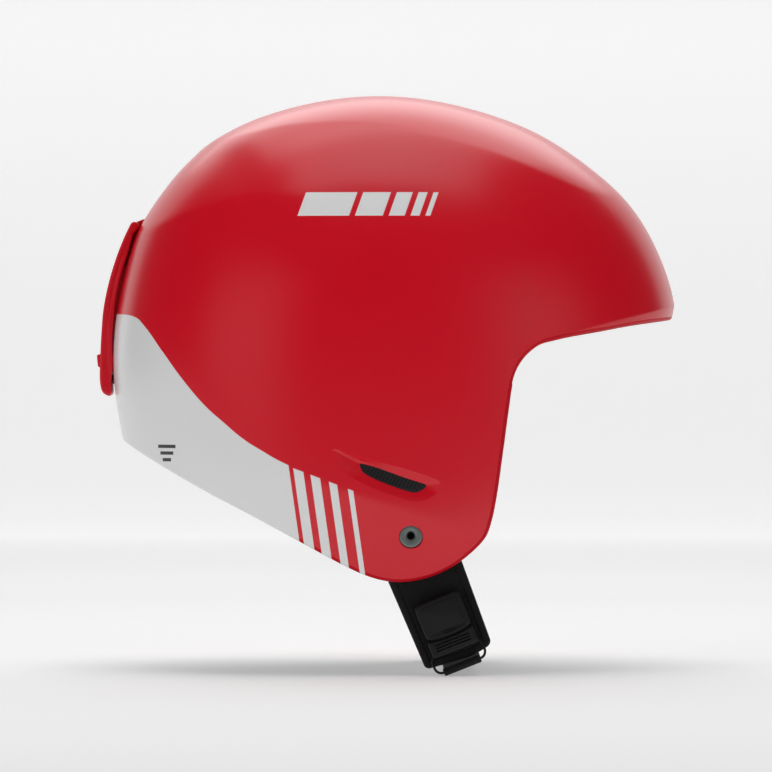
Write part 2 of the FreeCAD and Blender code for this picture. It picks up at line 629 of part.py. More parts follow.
socket = strap_block(SOCKET_TOP, SOCKET_END, SOCKET_WIDTH, BUCKLE_IN, BUCKLE_OUT)
socket = rounded(socket, 2.0, along_y).common(rod(0, 0, SOCKET_END + 0.1, 60, 120))
socket = rounded(socket, 1.0, lambda e: min(v.Y for v in e.Vertexes) > BUCKLE_OUT - 1e-3)
track = arc_band(46.6, 50.4, 60, RAIL_PLANE - 2.4, RAIL_PLANE + 2.4)
track = track.fuse(arc_band(50.0, 60.0, 60, RAIL_PLANE - 1.4, RAIL_PLANE + 1.4))
track = track.common(Part.makeBox(60, 40, 80, Vec(-SOCKET_WIDTH / 2 + 1.6, 80, -80)))
post = strap_block(37.4, 50.6, 16.4, WEB_PLANE + half_web, BUCKLE_IN)
magnet = strap_block(39.0, 44.0, 14.0, RAIL_PLANE - 1.5, RAIL_PLANE + 1.5)
socket = socket.fuse(post).cut(track).cut(magnet)
parts["buckle_socket"] = strap_mirror(single(socket))
parts["socket_magnet"] = strap_mirror(magnet)

latch = strap_block(SOCKET_END + 0.5, LATCH_END, LATCH_WIDTH, BUCKLE_IN, BUCKLE_OUT - 0.4)
latch = rounded(latch, 1.8, along_y)
latch = rounded(latch, 1.0, lambda e: min(v.Y for v in e.Vertexes) > BUCKLE_OUT - 0.4 - 1e-3)
latch = latch.cut(rod(0, 0, 54.5, 80, 120))
tongue_width = SOCKET_WIDTH - 4.0
rail = arc_band(46.9, 50.1, tongue_width, RAIL_PLANE - 2.1, RAIL_PLANE + 2.1)
rail = rail.fuse(arc_band(50.0, 55.5, tongue_width, RAIL_PLANE - 1.1, RAIL_PLANE + 1.1))
bar_hole = Part.makeCylinder(BAIL_WIRE + 0.1, 40, Vec(-20, BAIL_PLANE, -BAIL_TOP), AXIS_X)
for sign in (-1, 1):
    groove = strap_block(BAIL_TOP - 0.9, LATCH_END + 1, 4.0, BAIL_PLANE - 0.9, BAIL_PLANE + 0.9)
    groove.translate(Vec(sign * 11.2, 0, 0))
    bar_hole = bar_hole.fuse(groove)
latch_magnet = strap_block(55.8, 58.8, 14.0, RAIL_PLANE - 0.6, RAIL_PLANE + 2.0)
latch = latch.fuse(rail).cut(bar_hole).cut(latch_magnet)
parts["buckle_latch"] = strap_mirror(single(latch))
parts["latch_magnet"] = strap_mirror(latch_magnet)

half_bail = BAIL_WIDTH / 2 - BAIL_WIRE
corners = [(-half_bail, -BAIL_TOP), (half_bail, -BAIL_TOP), (half_bail, -BAIL_BAR), (-half_bail, -BAIL_BAR)]
loop = Part.makePolygon([Vec(x, BAIL_PLANE, z) for x, z in corners + corners[:1]])
loop_face = rounded(Part.Face(loop).extrude(Vec(0, 1, 0)), 3.6, along_y)
flat = min(loop_face.Faces, key=lambda f: f.CenterOfMass.y)
path = flat.OuterWire
start = max(path.Edges, key=lambda e: e.Length)
foot_point = start.valueAt((start.FirstParameter + start.LastParameter) / 2)
bail = Part.Wire(Part.__sortEdges__(path.Edges)).makePipeShell(
    [Part.Wire(Part.makeCircle(BAIL_WIRE, foot_point, start.tangentAt(start.FirstParameter)))], True, False)
parts["wire_bail"] = strap_mirror(bail)


# ---------------------------------------------------------------- write the files
os.makedirs("parts", exist_ok=True)
for name in sorted(parts):
    parts[name].exportStep("parts/" + name + ".step")
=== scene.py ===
import math

import bmesh
import bpy
import numpy as np
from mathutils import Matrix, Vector
from mathutils.geometry import delaunay_2d_cdt


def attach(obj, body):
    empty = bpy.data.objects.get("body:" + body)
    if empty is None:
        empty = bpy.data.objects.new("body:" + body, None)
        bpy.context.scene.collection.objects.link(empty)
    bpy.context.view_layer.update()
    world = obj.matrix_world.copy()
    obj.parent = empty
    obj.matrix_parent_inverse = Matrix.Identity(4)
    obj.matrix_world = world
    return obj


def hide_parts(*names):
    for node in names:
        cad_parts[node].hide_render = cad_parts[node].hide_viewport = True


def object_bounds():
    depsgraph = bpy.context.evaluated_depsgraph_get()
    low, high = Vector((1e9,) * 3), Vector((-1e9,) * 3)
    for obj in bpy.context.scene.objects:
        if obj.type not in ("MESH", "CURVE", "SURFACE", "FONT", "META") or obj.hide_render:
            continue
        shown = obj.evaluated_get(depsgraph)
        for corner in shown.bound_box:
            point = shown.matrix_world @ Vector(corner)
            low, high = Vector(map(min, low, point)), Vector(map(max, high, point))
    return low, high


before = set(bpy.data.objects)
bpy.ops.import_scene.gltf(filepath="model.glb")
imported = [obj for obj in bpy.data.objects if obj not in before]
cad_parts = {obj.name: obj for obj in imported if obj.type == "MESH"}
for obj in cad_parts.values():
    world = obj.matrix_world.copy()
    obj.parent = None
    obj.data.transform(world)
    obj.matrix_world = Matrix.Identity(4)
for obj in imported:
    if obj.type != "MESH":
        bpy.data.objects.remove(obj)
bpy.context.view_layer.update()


# -------- outer shell
# The hard outer shell, injection moulded in ABS about 3 mm thick, with styling ridges, a scoop
# over each side vent and an edge rolled inwards. It is sprayed red, masked and sprayed white.

MM = 0.001
HALF_WIDTH = 114.0
ROUNDNESS = 2.3
ROUNDNESS_DROP = 0.15
SHELL_WALL = 3.0
EDGE_ROLL = 2.4
INNER_ROLL = 0.6
RIDGE_SCALE = 106.0
RIDGE_REACH = 29.0
RIDGE_ROUNDING = 1.2
LIP_START = (147.7, 17.7)
LIP_SLOPE = 0.259
LIP_TURN = 0.33

# The outline across the middle plane, forward and up, and on under the ears.
DOME_OUTLINE = [
    (147.7, 17.7), (139.9, 43.7), (125.3, 68.6), (106.1, 87.4), (78.5, 106.1), (46.8, 118.6),
    (15.6, 125.3), (-15.6, 126.4), (-46.8, 121.7), (-78.0, 110.3), (-94.2, 99.3), (-109.0, 87.0),
    (-123.3, 68.2), (-132.6, 49.1), (-139.9, 25.0), (-143.1, 3.6), (-143.7, -10.9), (-142.5, -29.1),
    (-138.3, -53.6), (-124.9, -104.8), (-76.1, -170.8), (0.0, -198.0), (93.5, -162.0),
    (140.3, -81.0), (147.2, -26.0),
]
RIM = [
    (149.1, 9.8), (130.0, 7.3), (112.9, 4.2), (96.2, 1.4), (84.0, -1.0), (76.4, -3.6), (68.4, -10.4),
    (62.9, -20.9), (60.3, -36.0), (57.6, -56.0), (54.6, -76.4), (51.3, -91.5), (46.8, -101.5),
    (36.4, -112.0), (25.4, -118.9), (14.8, -122.5), (3.5, -123.7), (-8.0, -121.8), (-21.7, -116.2), (-46.4, -103.0),
    (-70.0, -90.4), (-95.7, -77.4), (-124.9, -61.4), (-138.3, -53.6),
]
# Ridges as (forward, up, height).
RIDGES = [
    [(-95.7, 100.9, 2.2), (-87.0, 102.0, 1.7), (-71.5, 105.0, 1.2), (-50.0, 109.0, 1.1), (-13.5, 109.6, 1.1),
     (19.5, 104.0, 1.2), (52.0, 94.5, 1.5), (81.0, 82.0, 1.5), (99.0, 75.8, 1.1), (112.0, 73.5, 0.6),
     (117.8, 75.5, 0.4)],
    [(-136.0, 52.0, 1.4), (-112.0, 59.5, 1.9), (-99.0, 64.5, 1.9), (-77.0, 71.0, 1.8), (-64.0, 73.0, 1.5),
     (-51.5, 72.5, 1.0), (-38.5, 70.5, 0.5), (-22.0, 66.5, 0.0)],
    [(-70.0, -54.0, 0.0), (-49.0, -66.5, 0.9), (-15.0, -78.4, 1.7), (25.0, -91.5, 1.8), (47.0, -98.5, 1.8)],
]


def outline_spline():
    """The outline's radius over its angle, as a smooth closed curve."""
    angle = np.degrees(np.arctan2([z for _, z in DOME_OUTLINE], [x for x, _ in DOME_OUTLINE])) % 360
    value = np.hypot([x for x, _ in DOME_OUTLINE], [z for _, z in DOME_OUTLINE])
    n = len(angle)
    step = (np.roll(angle, -1) - angle) % 360
    rise = (np.roll(value, -1) - value) / step
    system = np.diag(2 * (np.roll(step, 1) + step))
    for i in range(n):
        system[i, i - 1] += step[i - 1]
        system[i, (i + 1) % n] += step[i]
    bend = np.linalg.solve(system, 6 * (rise - np.roll(rise, 1)))

    def radius(a):
        a = np.asarray(a) % 360
        i = np.searchsorted(angle, a, side="right") - 1
        i = np.where(i < 0, n - 1, i)
        j = (i + 1) % n
        t = ((a - angle[i]) % 360) / step[i]
        curve = (t ** 3 - t) * bend[j] + ((1 - t) ** 3 - (1 - t)) * bend[i]
        return t * value[j] + (1 - t) * value[i] + step[i] ** 2 * curve / 6

    return radius


start = min(range(len(DOME_OUTLINE)), key=lambda i: math.atan2(DOME_OUTLINE[i][1], DOME_OUTLINE[i][0]) % math.tau)
DOME_OUTLINE = DOME_OUTLINE[start:] + DOME_OUTLINE[:start]
outline_radius = outline_spline()


def dome_shape(x, z):
    """The dome's roundness and how near its outline a place is, seen from the side."""
    angle = np.degrees(np.arctan2(z, x))
    return ROUNDNESS - ROUNDNESS_DROP * np.sin(np.radians(angle)), np.hypot(x, z) / outline_radius(angle)


def dome_measure(p):
    """1 on the smooth dome, less inside it and more outside it."""
    n, reach = dome_shape(p[:, 0], p[:, 2])
    return (reach ** n + (np.abs(p[:, 1]) / HALF_WIDTH) ** n) ** (1 / n)


def dome_half_width(x, z):
    """How far out the smooth dome is, at places seen from the side."""
    n, reach = dome_shape(x, z)
    return HALF_WIDTH * np.clip(1 - reach ** n, 0, None) ** (1 / n)


def catmull(points, steps):
    """Points on a smooth curve through the given ones."""
    p = np.array(points, float)
    ahead = np.vstack([p[1:], p[-1:]])
    behind = np.vstack([p[:1], p[:-1]])
    further = np.vstack([p[2:], p[-1:], p[-1:]])
    out = []
    for i in range(len(p) - 1):
        for t in np.arange(steps) / steps:
            a, b, c, d = behind[i], p[i], ahead[i], further[i]
            out.append(0.5 * (2 * b + (c - a) * t + (2 * a - 5 * b + 4 * c - d) * t * t
                              + (3 * b - a - 3 * c + d) * t ** 3))
    out.append(p[-1])
    return np.array(out)


def unit(v):
    """Vectors made one long."""
    return v / np.maximum(np.linalg.norm(v, axis=-1, keepdims=True), 1e-12)


ridge_paths = []
for points in RIDGES:
    line = catmull(points, 4)
    place = np.stack([line[:, 0], dome_half_width(line[:, 0], line[:, 1]), line[:, 1]], 1)
    ridge_paths.append((unit(place), line[:, 2]))


def skin_lift(d, p):
    """How far the ridges lift the skin, and the brim's lip lets it back, in each direction."""
    d = np.abs(d * [0, 1, 0]) + d * [1, 0, 1]
    lift = np.zeros(len(d))
    for place, height in ridge_paths:
        nearest, here = np.full(len(d), 9.0), np.zeros(len(d))
        for a, b, high, low in zip(place[:-1], place[1:], height[:-1], height[1:]):
            along = b - a
            t = np.clip((d - a) @ along / (along @ along), 0, 1)
            away = np.linalg.norm(d - a - t[:, None] * along, axis=1)
            closer = away < nearest
            nearest = np.where(closer, away, nearest)
            here = np.where(closer, high + (low - high) * t, here)
        away = np.hypot(nearest * RIDGE_SCALE, RIDGE_ROUNDING) - RIDGE_ROUNDING
        lift += here * np.clip(1 - away / RIDGE_REACH, 0, None) ** 2
    below = LIP_START[1] - LIP_SLOPE * (LIP_START[0] - p[:, 0]) - p[:, 2]
    below = (below + np.hypot(below, 0.5)) / 2 - 0.02
    ahead = np.clip((p[:, 0] - 60) / 20, 0, 1)
    return lift - LIP_TURN * ahead * np.clip(below, 0, 12)


def skin(x, z):
    """Points of the shell's outer skin, on the wearer's right."""
    p = np.stack([x, -dome_half_width(x, z), z], 1)
    d = unit(p)
    return p + d * skin_lift(d, p)[:, None]


def skin_level(p):
    """How far outside the skin each point is, along its ray from the middle."""
    d = unit(p)
    base = d / dome_measure(d)[:, None]
    return np.linalg.norm(p, axis=1) - np.linalg.norm(base, axis=1) - skin_lift(d, base)


def skin_normal(p):
    """The way out of the skin at points on or near it."""
    h = 0.25
    slope = [skin_level(p + h * e) - skin_level(p - h * e) for e in np.eye(3)]
    return unit(np.stack(slope, 1))


def even(curve, count, start=0.0, end=1.0):
    """The curve sampled at even steps along its length."""
    gap = np.linalg.norm(np.diff(curve, axis=0), axis=1)
    length = np.concatenate([[0], np.cumsum(gap)])
    want = np.linspace(start, end, count) * length[-1]
    return np.stack([np.interp(want, length, curve[:, k]) for k in range(curve.shape[1])], 1)


def at_outline(a, b):
    """Where the line from a through b meets the outline, near b."""
    low, high = 0.0, 6.0
    d = unit(b - a)
    for _ in range(40):
        t = (low + high) / 2
        q = a + d * t
        inside = np.hypot(*q) < outline_radius(np.degrees(np.arctan2(q[1], q[0])))
        low, high = (t, high) if inside else (low, t)
    return a + d * low


RIBS = 330
ROWS = 150
ROLL_STEPS = 6


def shell_grid():
    """Skin points in ribs from the middle plane to the rim, and the rim's own frame."""
    rim = even(catmull(RIM, 12), 3000)
    side = np.gradient(rim, axis=0)
    side = unit(np.stack([side[:, 1], -side[:, 0]], 1))
    inset = rim + side * EDGE_ROLL
    inset = inset[dome_half_width(inset[:, 0], inset[:, 1]) > 6]
    first, last = at_outline(inset[4], inset[0]), at_outline(inset[-5], inset[-1])
    near = np.linspace(1, 0, 120)[:, None] ** 2
    inset = np.vstack([first + (inset[0] - first) * (1 - near), inset[1:-1], last + (inset[-1] - last) * near])
    width = dome_half_width(inset[:, 0], inset[:, 1])
    width[0] = width[-1] = 0
    edge = even(np.column_stack([inset[:, 0], width, inset[:, 1]]), RIBS + 1)
    turn = np.linspace(math.atan2(first[1], first[0]), math.atan2(last[1], last[0]) % math.tau, 2000)
    reach = outline_radius(np.degrees(turn))
    ridge = even(np.stack([reach * np.cos(turn), reach * np.sin(turn)], 1), RIBS + 1)
    share = 1 - np.cos(np.linspace(0, 1, ROWS + 1) * math.pi / 2)
    flat = ridge[:, None] + (edge[:, None, [0, 2]] - ridge[:, None]) * share[None, :, None]
    points = skin(flat[..., 0].ravel(), flat[..., 1].ravel())
    points = points.reshape(RIBS + 1, ROWS + 1, 3)
    points[:, 0, 1] = 0
    points[0, :, 1] = points[-1, :, 1] = 0
    return points


grid = shell_grid()

# The scoop over the vent and the opening in it: tops from rear to front, then bottoms back.
SCOOP_TOP = [(-29.6, -56.0), (-27.5, -55.3), (-15.3, -59.3), (7.1, -65.1), (23.0, -70.5), (25.2, -73.2)]
SCOOP_BOTTOM = [
    (25.2, -73.2), (24.2, -76.3), (21.5, -78.4), (16.0, -80.8), (10.7, -81.0), (2.6, -78.6), (-6.3, -75.5),
    (-15.3, -71.4), (-22.2, -67.0), (-26.6, -61.6), (-29.6, -56.0),
]
VENT_TOP = [(-15.6, -63.0), (-14.4, -62.8), (-6.3, -64.9), (7.1, -69.7), (17.0, -72.9), (18.2, -73.8)]
VENT_BOTTOM = [
    (18.2, -73.8), (17.7, -74.9), (13.9, -76.9), (10.7, -76.9), (4.9, -75.2), (-4.1, -71.9), (-10.8, -68.8),
    (-14.0, -66.5), (-15.6, -63.0),
]
SCOOP_DEPTH = 2.5
PIVOT = (10.4, -99.3)
SEAT_RADIUS = 6.15
BARREL_HOLE = 4.2


def closed_loop(top, bottom, count):
    """A closed outline whose point k answers to point k of any other one made this way."""
    upper = even(catmull(top, 8), count // 2 + 1)[:-1]
    lower = even(catmull(bottom, 8), count // 2 + 1)[:-1]
    return np.vstack([upper, lower])


def inside(points, loop):
    """Which points lie inside a closed outline."""
    a, b = loop, np.roll(loop, -1, axis=0)
    x, y = points[:, None, 0], points[:, None, 1]
    rise = np.where(b[:, 1] == a[:, 1], 1e-12, b[:, 1] - a[:, 1])
    crossing = ((a[:, 1] > y) != (b[:, 1] > y)) & (x < (b[:, 0] - a[:, 0]) * (y - a[:, 1]) / rise + a[:, 0])
    return crossing.sum(1) % 2 == 1


class HalfShell:
    """The shell's right half as it grows: points, their normals, and faces."""

    def __init__(self):
        self.points, self.normals, self.faces = [], [], []

    def add(self, points, normals):
        first = len(self.points)
        self.points.extend(points)
        self.normals.extend(normals)
        return np.arange(first, first + len(points))

    def strip(self, a, b, closed=False):
        """Quads between two rows of point numbers."""
        if closed:
            a, b = np.append(a, a[0]), np.append(b, b[0])
        self.faces.extend(zip(a[:-1], a[1:], b[1:], b[:-1]))

    def cut_patch(self, loop, margin, first=0):
        """Which of a grid's faces lie in or near a closed outline, and the ring of points round them."""
        flat = np.array(self.points)[:, [0, 2]]
        middle = loop.mean(0)
        bigger = loop + unit(loop - middle) * margin
        corners = np.array([face[:4] for face in self.faces[first: first + RIBS * ROWS]])
        gone = inside(flat, bigger)[corners].any(1)
        sides = {(int(face[k]), int(face[(k + 1) % 4])): True for face in corners[gone] for k in range(4)}
        rim = {a: b for a, b in sides if (b, a) not in sides}
        ring = [next(iter(rim))]
        while rim[ring[-1]] != ring[0]:
            ring.append(rim[ring[-1]])
        return gone, ring

    def fill(self, ring, loop_ids, loop, hollow=True):
        """Triangles between a ring of points and a closed outline inside it."""
        flat = [tuple(self.points[i][k] for k in (0, 2)) for i in ring] + [tuple(p) for p in loop]
        ids = list(ring) + list(loop_ids)
        n, m = len(ring), len(loop_ids)
        edges = [(k, (k + 1) % n) for k in range(n)] + [(n + k, n + (k + 1) % m) for k in range(m)]
        made = delaunay_2d_cdt([Vector(p) for p in flat], edges, [], 0, 1e-6)
        place, triangles, origin = np.array(made[0]), made[2], made[3]
        centre = np.array([place[list(t)].mean(0) for t in triangles])
        keep = inside(centre, np.array(flat[:n]))
        if hollow:
            keep &= ~inside(centre, np.array(flat[n:]))
        for t, good in zip(triangles, keep):
            if good:
                self.faces.append(tuple(ids[origin[k][0]] for k in t))


half = HalfShell()
flat_grid = grid.reshape(-1, 3)
grid_normals = skin_normal(np.where(np.abs(flat_grid) < 1e-9, -1e-6, flat_grid)).reshape(grid.shape)
grid_normals[:, 0, 1] = 0
grid_normals = unit(grid_normals)
numbers = half.add(flat_grid, grid_normals.reshape(-1, 3)).reshape(RIBS + 1, ROWS + 1)
for i in range(RIBS):
    half.strip(numbers[i], numbers[i + 1])

# The scoop's rings run from the skin down to the vent opening, and the seat's down to its floor.
scoop_loop = closed_loop(SCOOP_TOP, SCOOP_BOTTOM, 140)
vent_loop = closed_loop(VENT_TOP, VENT_BOTTOM, 140)
seat_turn = np.linspace(0, math.tau, 64, endpoint=False)
seat_loop = np.stack([PIVOT[0] + SEAT_RADIUS * np.cos(seat_turn), PIVOT[1] - SEAT_RADIUS * np.sin(seat_turn)], 1)
scoop_gone, scoop_ring = half.cut_patch(scoop_loop, 1.2)
seat_gone, seat_ring = half.cut_patch(seat_loop, 1.4)
half.faces = [f for f, a, b in zip(half.faces, scoop_gone, seat_gone) if not (a or b)]


def sunk(half, loop, depth):
    """A ring of points on an outline, let in below the skin."""
    top = skin(loop[:, 0], loop[:, 1])
    normal = skin_normal(top)
    return half.add(top - normal * depth, normal)


ring = first_ring = sunk(half, scoop_loop, 0)
half.fill(scoop_ring, first_ring, scoop_loop)
scoop_ids = []
for share in (0.02, 0.06, 0.12, 0.22, 0.36, 0.52, 0.68, 0.84, 0.95, 1.0):
    depth = SCOOP_DEPTH * (share + 0.10 * math.sin(share * math.pi))
    depth -= 0.12 * math.exp(-share * 14) - 0.12 * math.exp(-share * 40)
    next_ring = sunk(half, scoop_loop + (vent_loop - scoop_loop) * share, depth)
    half.strip(ring, next_ring, closed=True)
    scoop_ids.extend(next_ring)
    ring = next_ring
wall = sunk(half, vent_loop, SCOOP_DEPTH + 0.03)
half.strip(ring, wall, closed=True)
vent_first = wall[0]
# From here down, the opening's wall and the floor that closes it are black: painted shade, standing for the dark
# cavity behind the grid.
ring, wall = wall, sunk(half, vent_loop, SCOOP_DEPTH + 1.6)
half.strip(ring, wall, closed=True)
half.fill(wall, [], vent_loop[:0], hollow=False)
scoop_ids.extend([*ring, *wall])

ring = sunk(half, seat_loop, 0)
half.fill(seat_ring, ring, seat_loop)
seat_ids = []
middle = np.array(PIVOT)
for shrink, depth in ((0.12, 0.05), (0.22, 0.18), (0.25, 0.4), (0.25, 2.6), (SEAT_RADIUS - BARREL_HOLE, 2.65)):
    next_ring = sunk(half, middle + (seat_loop - middle) * (1 - shrink / SEAT_RADIUS), depth)
    half.strip(ring, next_ring, closed=True)
    seat_ids.extend(next_ring)
    ring = next_ring
seat_floor = ring

# The rolled edge: a quarter turn outside, a smaller one inside, then the inner face.
edge, edge_normal = grid[:, -1], grid_normals[:, -1]
before = np.vstack([edge[1] * [1, -1, 1], edge[:-1]])
after = np.vstack([edge[1:], edge[-2] * [1, -1, 1]])
along = unit(after - before)
out = unit(np.cross(along, edge_normal))
out *= np.sign(np.einsum("ij,ij->i", out[RIBS // 2:][:1], (edge - grid[:, -2])[RIBS // 2:][:1]))
row = numbers[:, -1]
roll_first = len(half.points)
for turn in np.linspace(0, math.pi / 2, ROLL_STEPS + 1)[1:]:
    place = edge + EDGE_ROLL * (out * math.sin(turn) - edge_normal * (1 - math.cos(turn)))
    new = half.add(place, unit(edge_normal * math.cos(turn) + out * math.sin(turn)))
    half.strip(row, new)
    row = new
for turn in (math.pi / 4, math.pi / 2):
    place = edge + out * (EDGE_ROLL - INNER_ROLL * (1 - math.cos(turn)))
    place = place - edge_normal * (EDGE_ROLL + INNER_ROLL * math.sin(turn))
    new = half.add(place, unit(out * math.cos(turn) - edge_normal * math.sin(turn)))
    half.strip(row, new)
    row = new
inner = grid - grid_normals * SHELL_WALL
inner[:, 0, 1] = 0
inner[0] = inner[0, 0]
inner[-1] = inner[-1, 0]
inner_ids = half.add(inner.reshape(-1, 3), -grid_normals.reshape(-1, 3)).reshape(RIBS + 1, ROWS + 1)
rolled_faces = len(half.faces)
for i in range(RIBS):
    half.strip(inner_ids[i + 1], inner_ids[i])

# The anchor's hole comes out through the inner face.
hole_loop = middle + (seat_loop - middle) * BARREL_HOLE / SEAT_RADIUS
hole_gone, hole_ring = half.cut_patch(hole_loop, 1.2, rolled_faces)
kept = [f for f, gone in zip(half.faces[rolled_faces:], hole_gone) if not gone]
half.faces = half.faces[:rolled_faces] + kept
hole_edge = sunk(half, hole_loop, SHELL_WALL)
half.fill(hole_ring, hole_edge, hole_loop)
half.strip(seat_floor, hole_edge, closed=True)
half.strip(row, inner_ids[:, -1])


def object_from(name, points, faces, smooth=True):
    """A new object from points in millimetres."""
    mesh = bpy.data.meshes.new(name)
    mesh.from_pydata([tuple(c * MM for c in p) for p in points], [], [list(f) for f in faces])
    work = bmesh.new()
    work.from_mesh(mesh)
    bmesh.ops.recalc_face_normals(work, faces=work.faces)
    work.to_mesh(mesh)
    work.free()
    mesh.polygons.foreach_set("use_smooth", [smooth] * len(mesh.polygons))
    made = bpy.data.objects.new(name, mesh)
    bpy.context.scene.collection.objects.link(made)
    return made


def whole_mesh(name, half, smooth_ids, surface):
    """Both halves joined on the middle plane, with the worked-out normals. surface numbers a face's material."""
    points, normals = np.array(half.points), np.array(half.normals)
    n = len(points)
    middle = np.abs(points[:, 1]) < 1e-5
    points[middle, 1] = 0
    key = {}
    same = np.arange(n)
    for i in np.flatnonzero(middle):
        same[i] = key.setdefault(tuple(np.round(points[i], 4)), i)
    other = np.where(middle, same, np.arange(n) + n)
    used, slots = [], []
    for table, turn in ((same, 1), (other, -1)):
        for face in half.faces:
            ids = [int(table[k]) for k in face][::turn]
            ids = [k for p, k in enumerate(ids) if k != ids[p - 1]]
            if len(set(ids)) > 2:
                used.append(ids)
                slots.append(surface(face))
    both = np.vstack([points, points * [1, -1, 1]])
    facing = np.vstack([normals, normals * [1, -1, 1]])
    needed = sorted({k for face in used for k in face})
    number = {k: p for p, k in enumerate(needed)}
    made = object_from(name, both[needed], [[number[k] for k in face] for face in used])
    mesh = made.data
    mesh.polygons.foreach_set("material_index", slots)
    mesh.update()
    facing = facing[needed]
    own = np.zeros(len(needed) * 3)
    mesh.vertex_normals.foreach_get("vector", own)
    own = own.reshape(-1, 3)
    soft = np.isin(np.array(needed) % n, list(smooth_ids))
    facing[soft] = own[soft]
    mesh.normals_split_custom_set_from_vertices(unit(facing).tolist())
    return made


def shell_surface(face):
    """0 on the painted skin, 1 on the bare inner face and on the vent opening's wall and floor, whose black is painted
    shade for the dark cavity behind the grid, and 2 on the rolled edge.
    """
    if min(face) >= inner_ids[0, 0] or min(face) >= vent_first and max(face) <= wall[-1]:
        return 1
    return 2 if max(face) >= roll_first else 0


shell = whole_mesh("shell_skin", half, set(scoop_ids) | set(seat_ids), shell_surface)
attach(shell, "helmet")
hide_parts("outer_shell")


def linear(code):
    """An sRGB hex colour as linear RGBA."""
    parts = [int(code[k:k + 2], 16) / 255 for k in (1, 3, 5)]
    return [c / 12.92 if c <= 0.04045 else ((c + 0.055) / 1.055) ** 2.4 for c in parts] + [1.0]


def add(tree, kind, inputs=None, **settings):
    """Adds a shader node. inputs gives each socket a value or another node's output."""
    made = tree.nodes.new("ShaderNode" + kind)
    for name, value in settings.items():
        setattr(made, name, value)
    for key, value in (inputs or {}).items():
        if isinstance(value, bpy.types.NodeSocket):
            tree.links.new(value, made.inputs[key])
        else:
            made.inputs[key].default_value = value
    return made


def finish_named(name, **values):
    """A new material with one Principled shader set to these values."""
    made = bpy.data.materials.new(name)
    made.use_nodes = True
    tree = made.node_tree
    tree.nodes.clear()
    shader = add(tree, "BsdfPrincipled", {k.replace("_", " "): v for k, v in values.items()})
    add(tree, "OutputMaterial", {"Surface": shader.outputs[0]})
    return made, tree, shader


def relief(tree, shader, height, strength, depth):
    """Gives a finish a relief, depth in metres."""
    bump = add(tree, "Bump", {"Strength": strength, "Distance": depth, "Height": height}).outputs[0]
    tree.links.new(bump, shader.inputs["Normal"])
    return bump


def textured(tree, shader, kind, scale, strength, depth, **more):
    """Gives a finish a relief with a fine pattern laid over the object."""
    place = add(tree, "TexCoord").outputs["Object"]
    relief(tree, shader, add(tree, kind, {"Vector": place, "Scale": scale, **more}).outputs[0], strength, depth)


def shaded(tree, shader, share, dark, light):
    """Colours a finish from dark to light by a pattern."""
    tone = add(tree, "Mix", {0: share, 6: linear(dark), 7: linear(light)}, data_type="RGBA").outputs[2]
    tree.links.new(tone, shader.inputs["Base Color"])


def leaning(tree, ahead, up, level, lean):
    """The first measure, taken along a slant that crosses the other at a level."""
    above = add(tree, "Math", {0: up, 1: level}, operation="SUBTRACT").outputs[0]
    return add(tree, "Math", {0: above, 1: lean, 2: ahead}, operation="MULTIPLY_ADD").outputs[0]


def band(tree, measure, low, high):
    """A masked band: how deep a measure lies between two levels, and less than 0 outside them."""
    off = add(tree, "Math", {0: measure, 1: (low + high) / 2}, operation="SUBTRACT").outputs[0]
    off = add(tree, "Math", {0: off}, operation="ABSOLUTE").outputs[0]
    return add(tree, "Math", {0: (high - low) / 2, 1: off}, operation="SUBTRACT").outputs[0]


def masked(tree, how, *marks):
    """Several marks as one: MAXIMUM joins them and MINIMUM keeps what they share."""
    whole = marks[0]
    for mark in marks[1:]:
        whole = add(tree, "Math", {0: whole, 1: mark}, operation=how).outputs[0]
    return whole


def sprayed(tree, colour, mark, new_colour):
    """A colour with another sprayed over it where a mark is, with a soft edge of a quarter millimetre."""
    mask = add(tree, "MapRange", {0: mark, 1: -0.12, 2: 0.12, 3: 0.0, 4: 1.0}).outputs[0]
    return add(tree, "Mix", {0: mask, 6: colour, 7: new_colour}, data_type="RGBA").outputs[2]


# Sprayed and clear-coated ABS: an even satin gloss, with orange peel a few millimetres across.
# The white is masked on after the red: a rear panel, four stripes behind the ear and slanted bars.
# Three dark dashes are printed on the panel.
shell_paint, tree, shader = finish_named("satin sprayed ABS, red and white", Roughness=0.28, IOR=1.5)
shader.inputs["Coat Weight"].default_value = 0.15
shader.inputs["Coat Roughness"].default_value = 0.2
place = add(tree, "TexCoord").outputs["Object"]
place = add(tree, "VectorMath", {0: place, 1: (1000, 1000, 1000)}, operation="MULTIPLY").outputs[0]
axes = add(tree, "SeparateXYZ", {0: place})
ahead, up = axes.outputs[0], axes.outputs[2]

PANEL_EDGE = [
    (-146.0, 12.9), (-135.5, 12.7), (-129.6, 10.9), (-126.3, 7.8), (-115.9, -6.1), (-105.3, -20.4), (-93.0, -34.5),
    (-84.3, -42.1), (-74.1, -50.6), (-63.5, -57.2), (-57.5, -60.7), (-51.4, -63.7), (-46.0, -66.5),
]
low_x, high_x, low_z, high_z = -146.0, -46.0, -70.0, 20.0
curve = add(tree, "FloatCurve")
line = curve.mapping.curves[0]
flat_points = [((x - low_x) / (high_x - low_x), (z - low_z) / (high_z - low_z)) for x, z in PANEL_EDGE]
line.points[0].location, line.points[1].location = flat_points[0], flat_points[-1]
for point in flat_points[1:-1]:
    line.points.new(*point)
curve.mapping.update()
share = add(tree, "MapRange", {0: ahead, 1: low_x, 2: high_x, 3: 0.0, 4: 1.0}).outputs[0]
tree.links.new(share, curve.inputs["Value"])
edge_up = add(tree, "MapRange", {0: curve.outputs[0], 1: 0.0, 2: 1.0, 3: low_z, 4: high_z}).outputs[0]
under_edge = add(tree, "Math", {0: edge_up, 1: up}, operation="SUBTRACT").outputs[0]
slant = leaning(tree, ahead, up, -65.0, 0.14)
behind = add(tree, "Math", {0: -51.0, 1: slant}, operation="SUBTRACT").outputs[0]
panel = masked(tree, "MINIMUM", under_edge, behind)
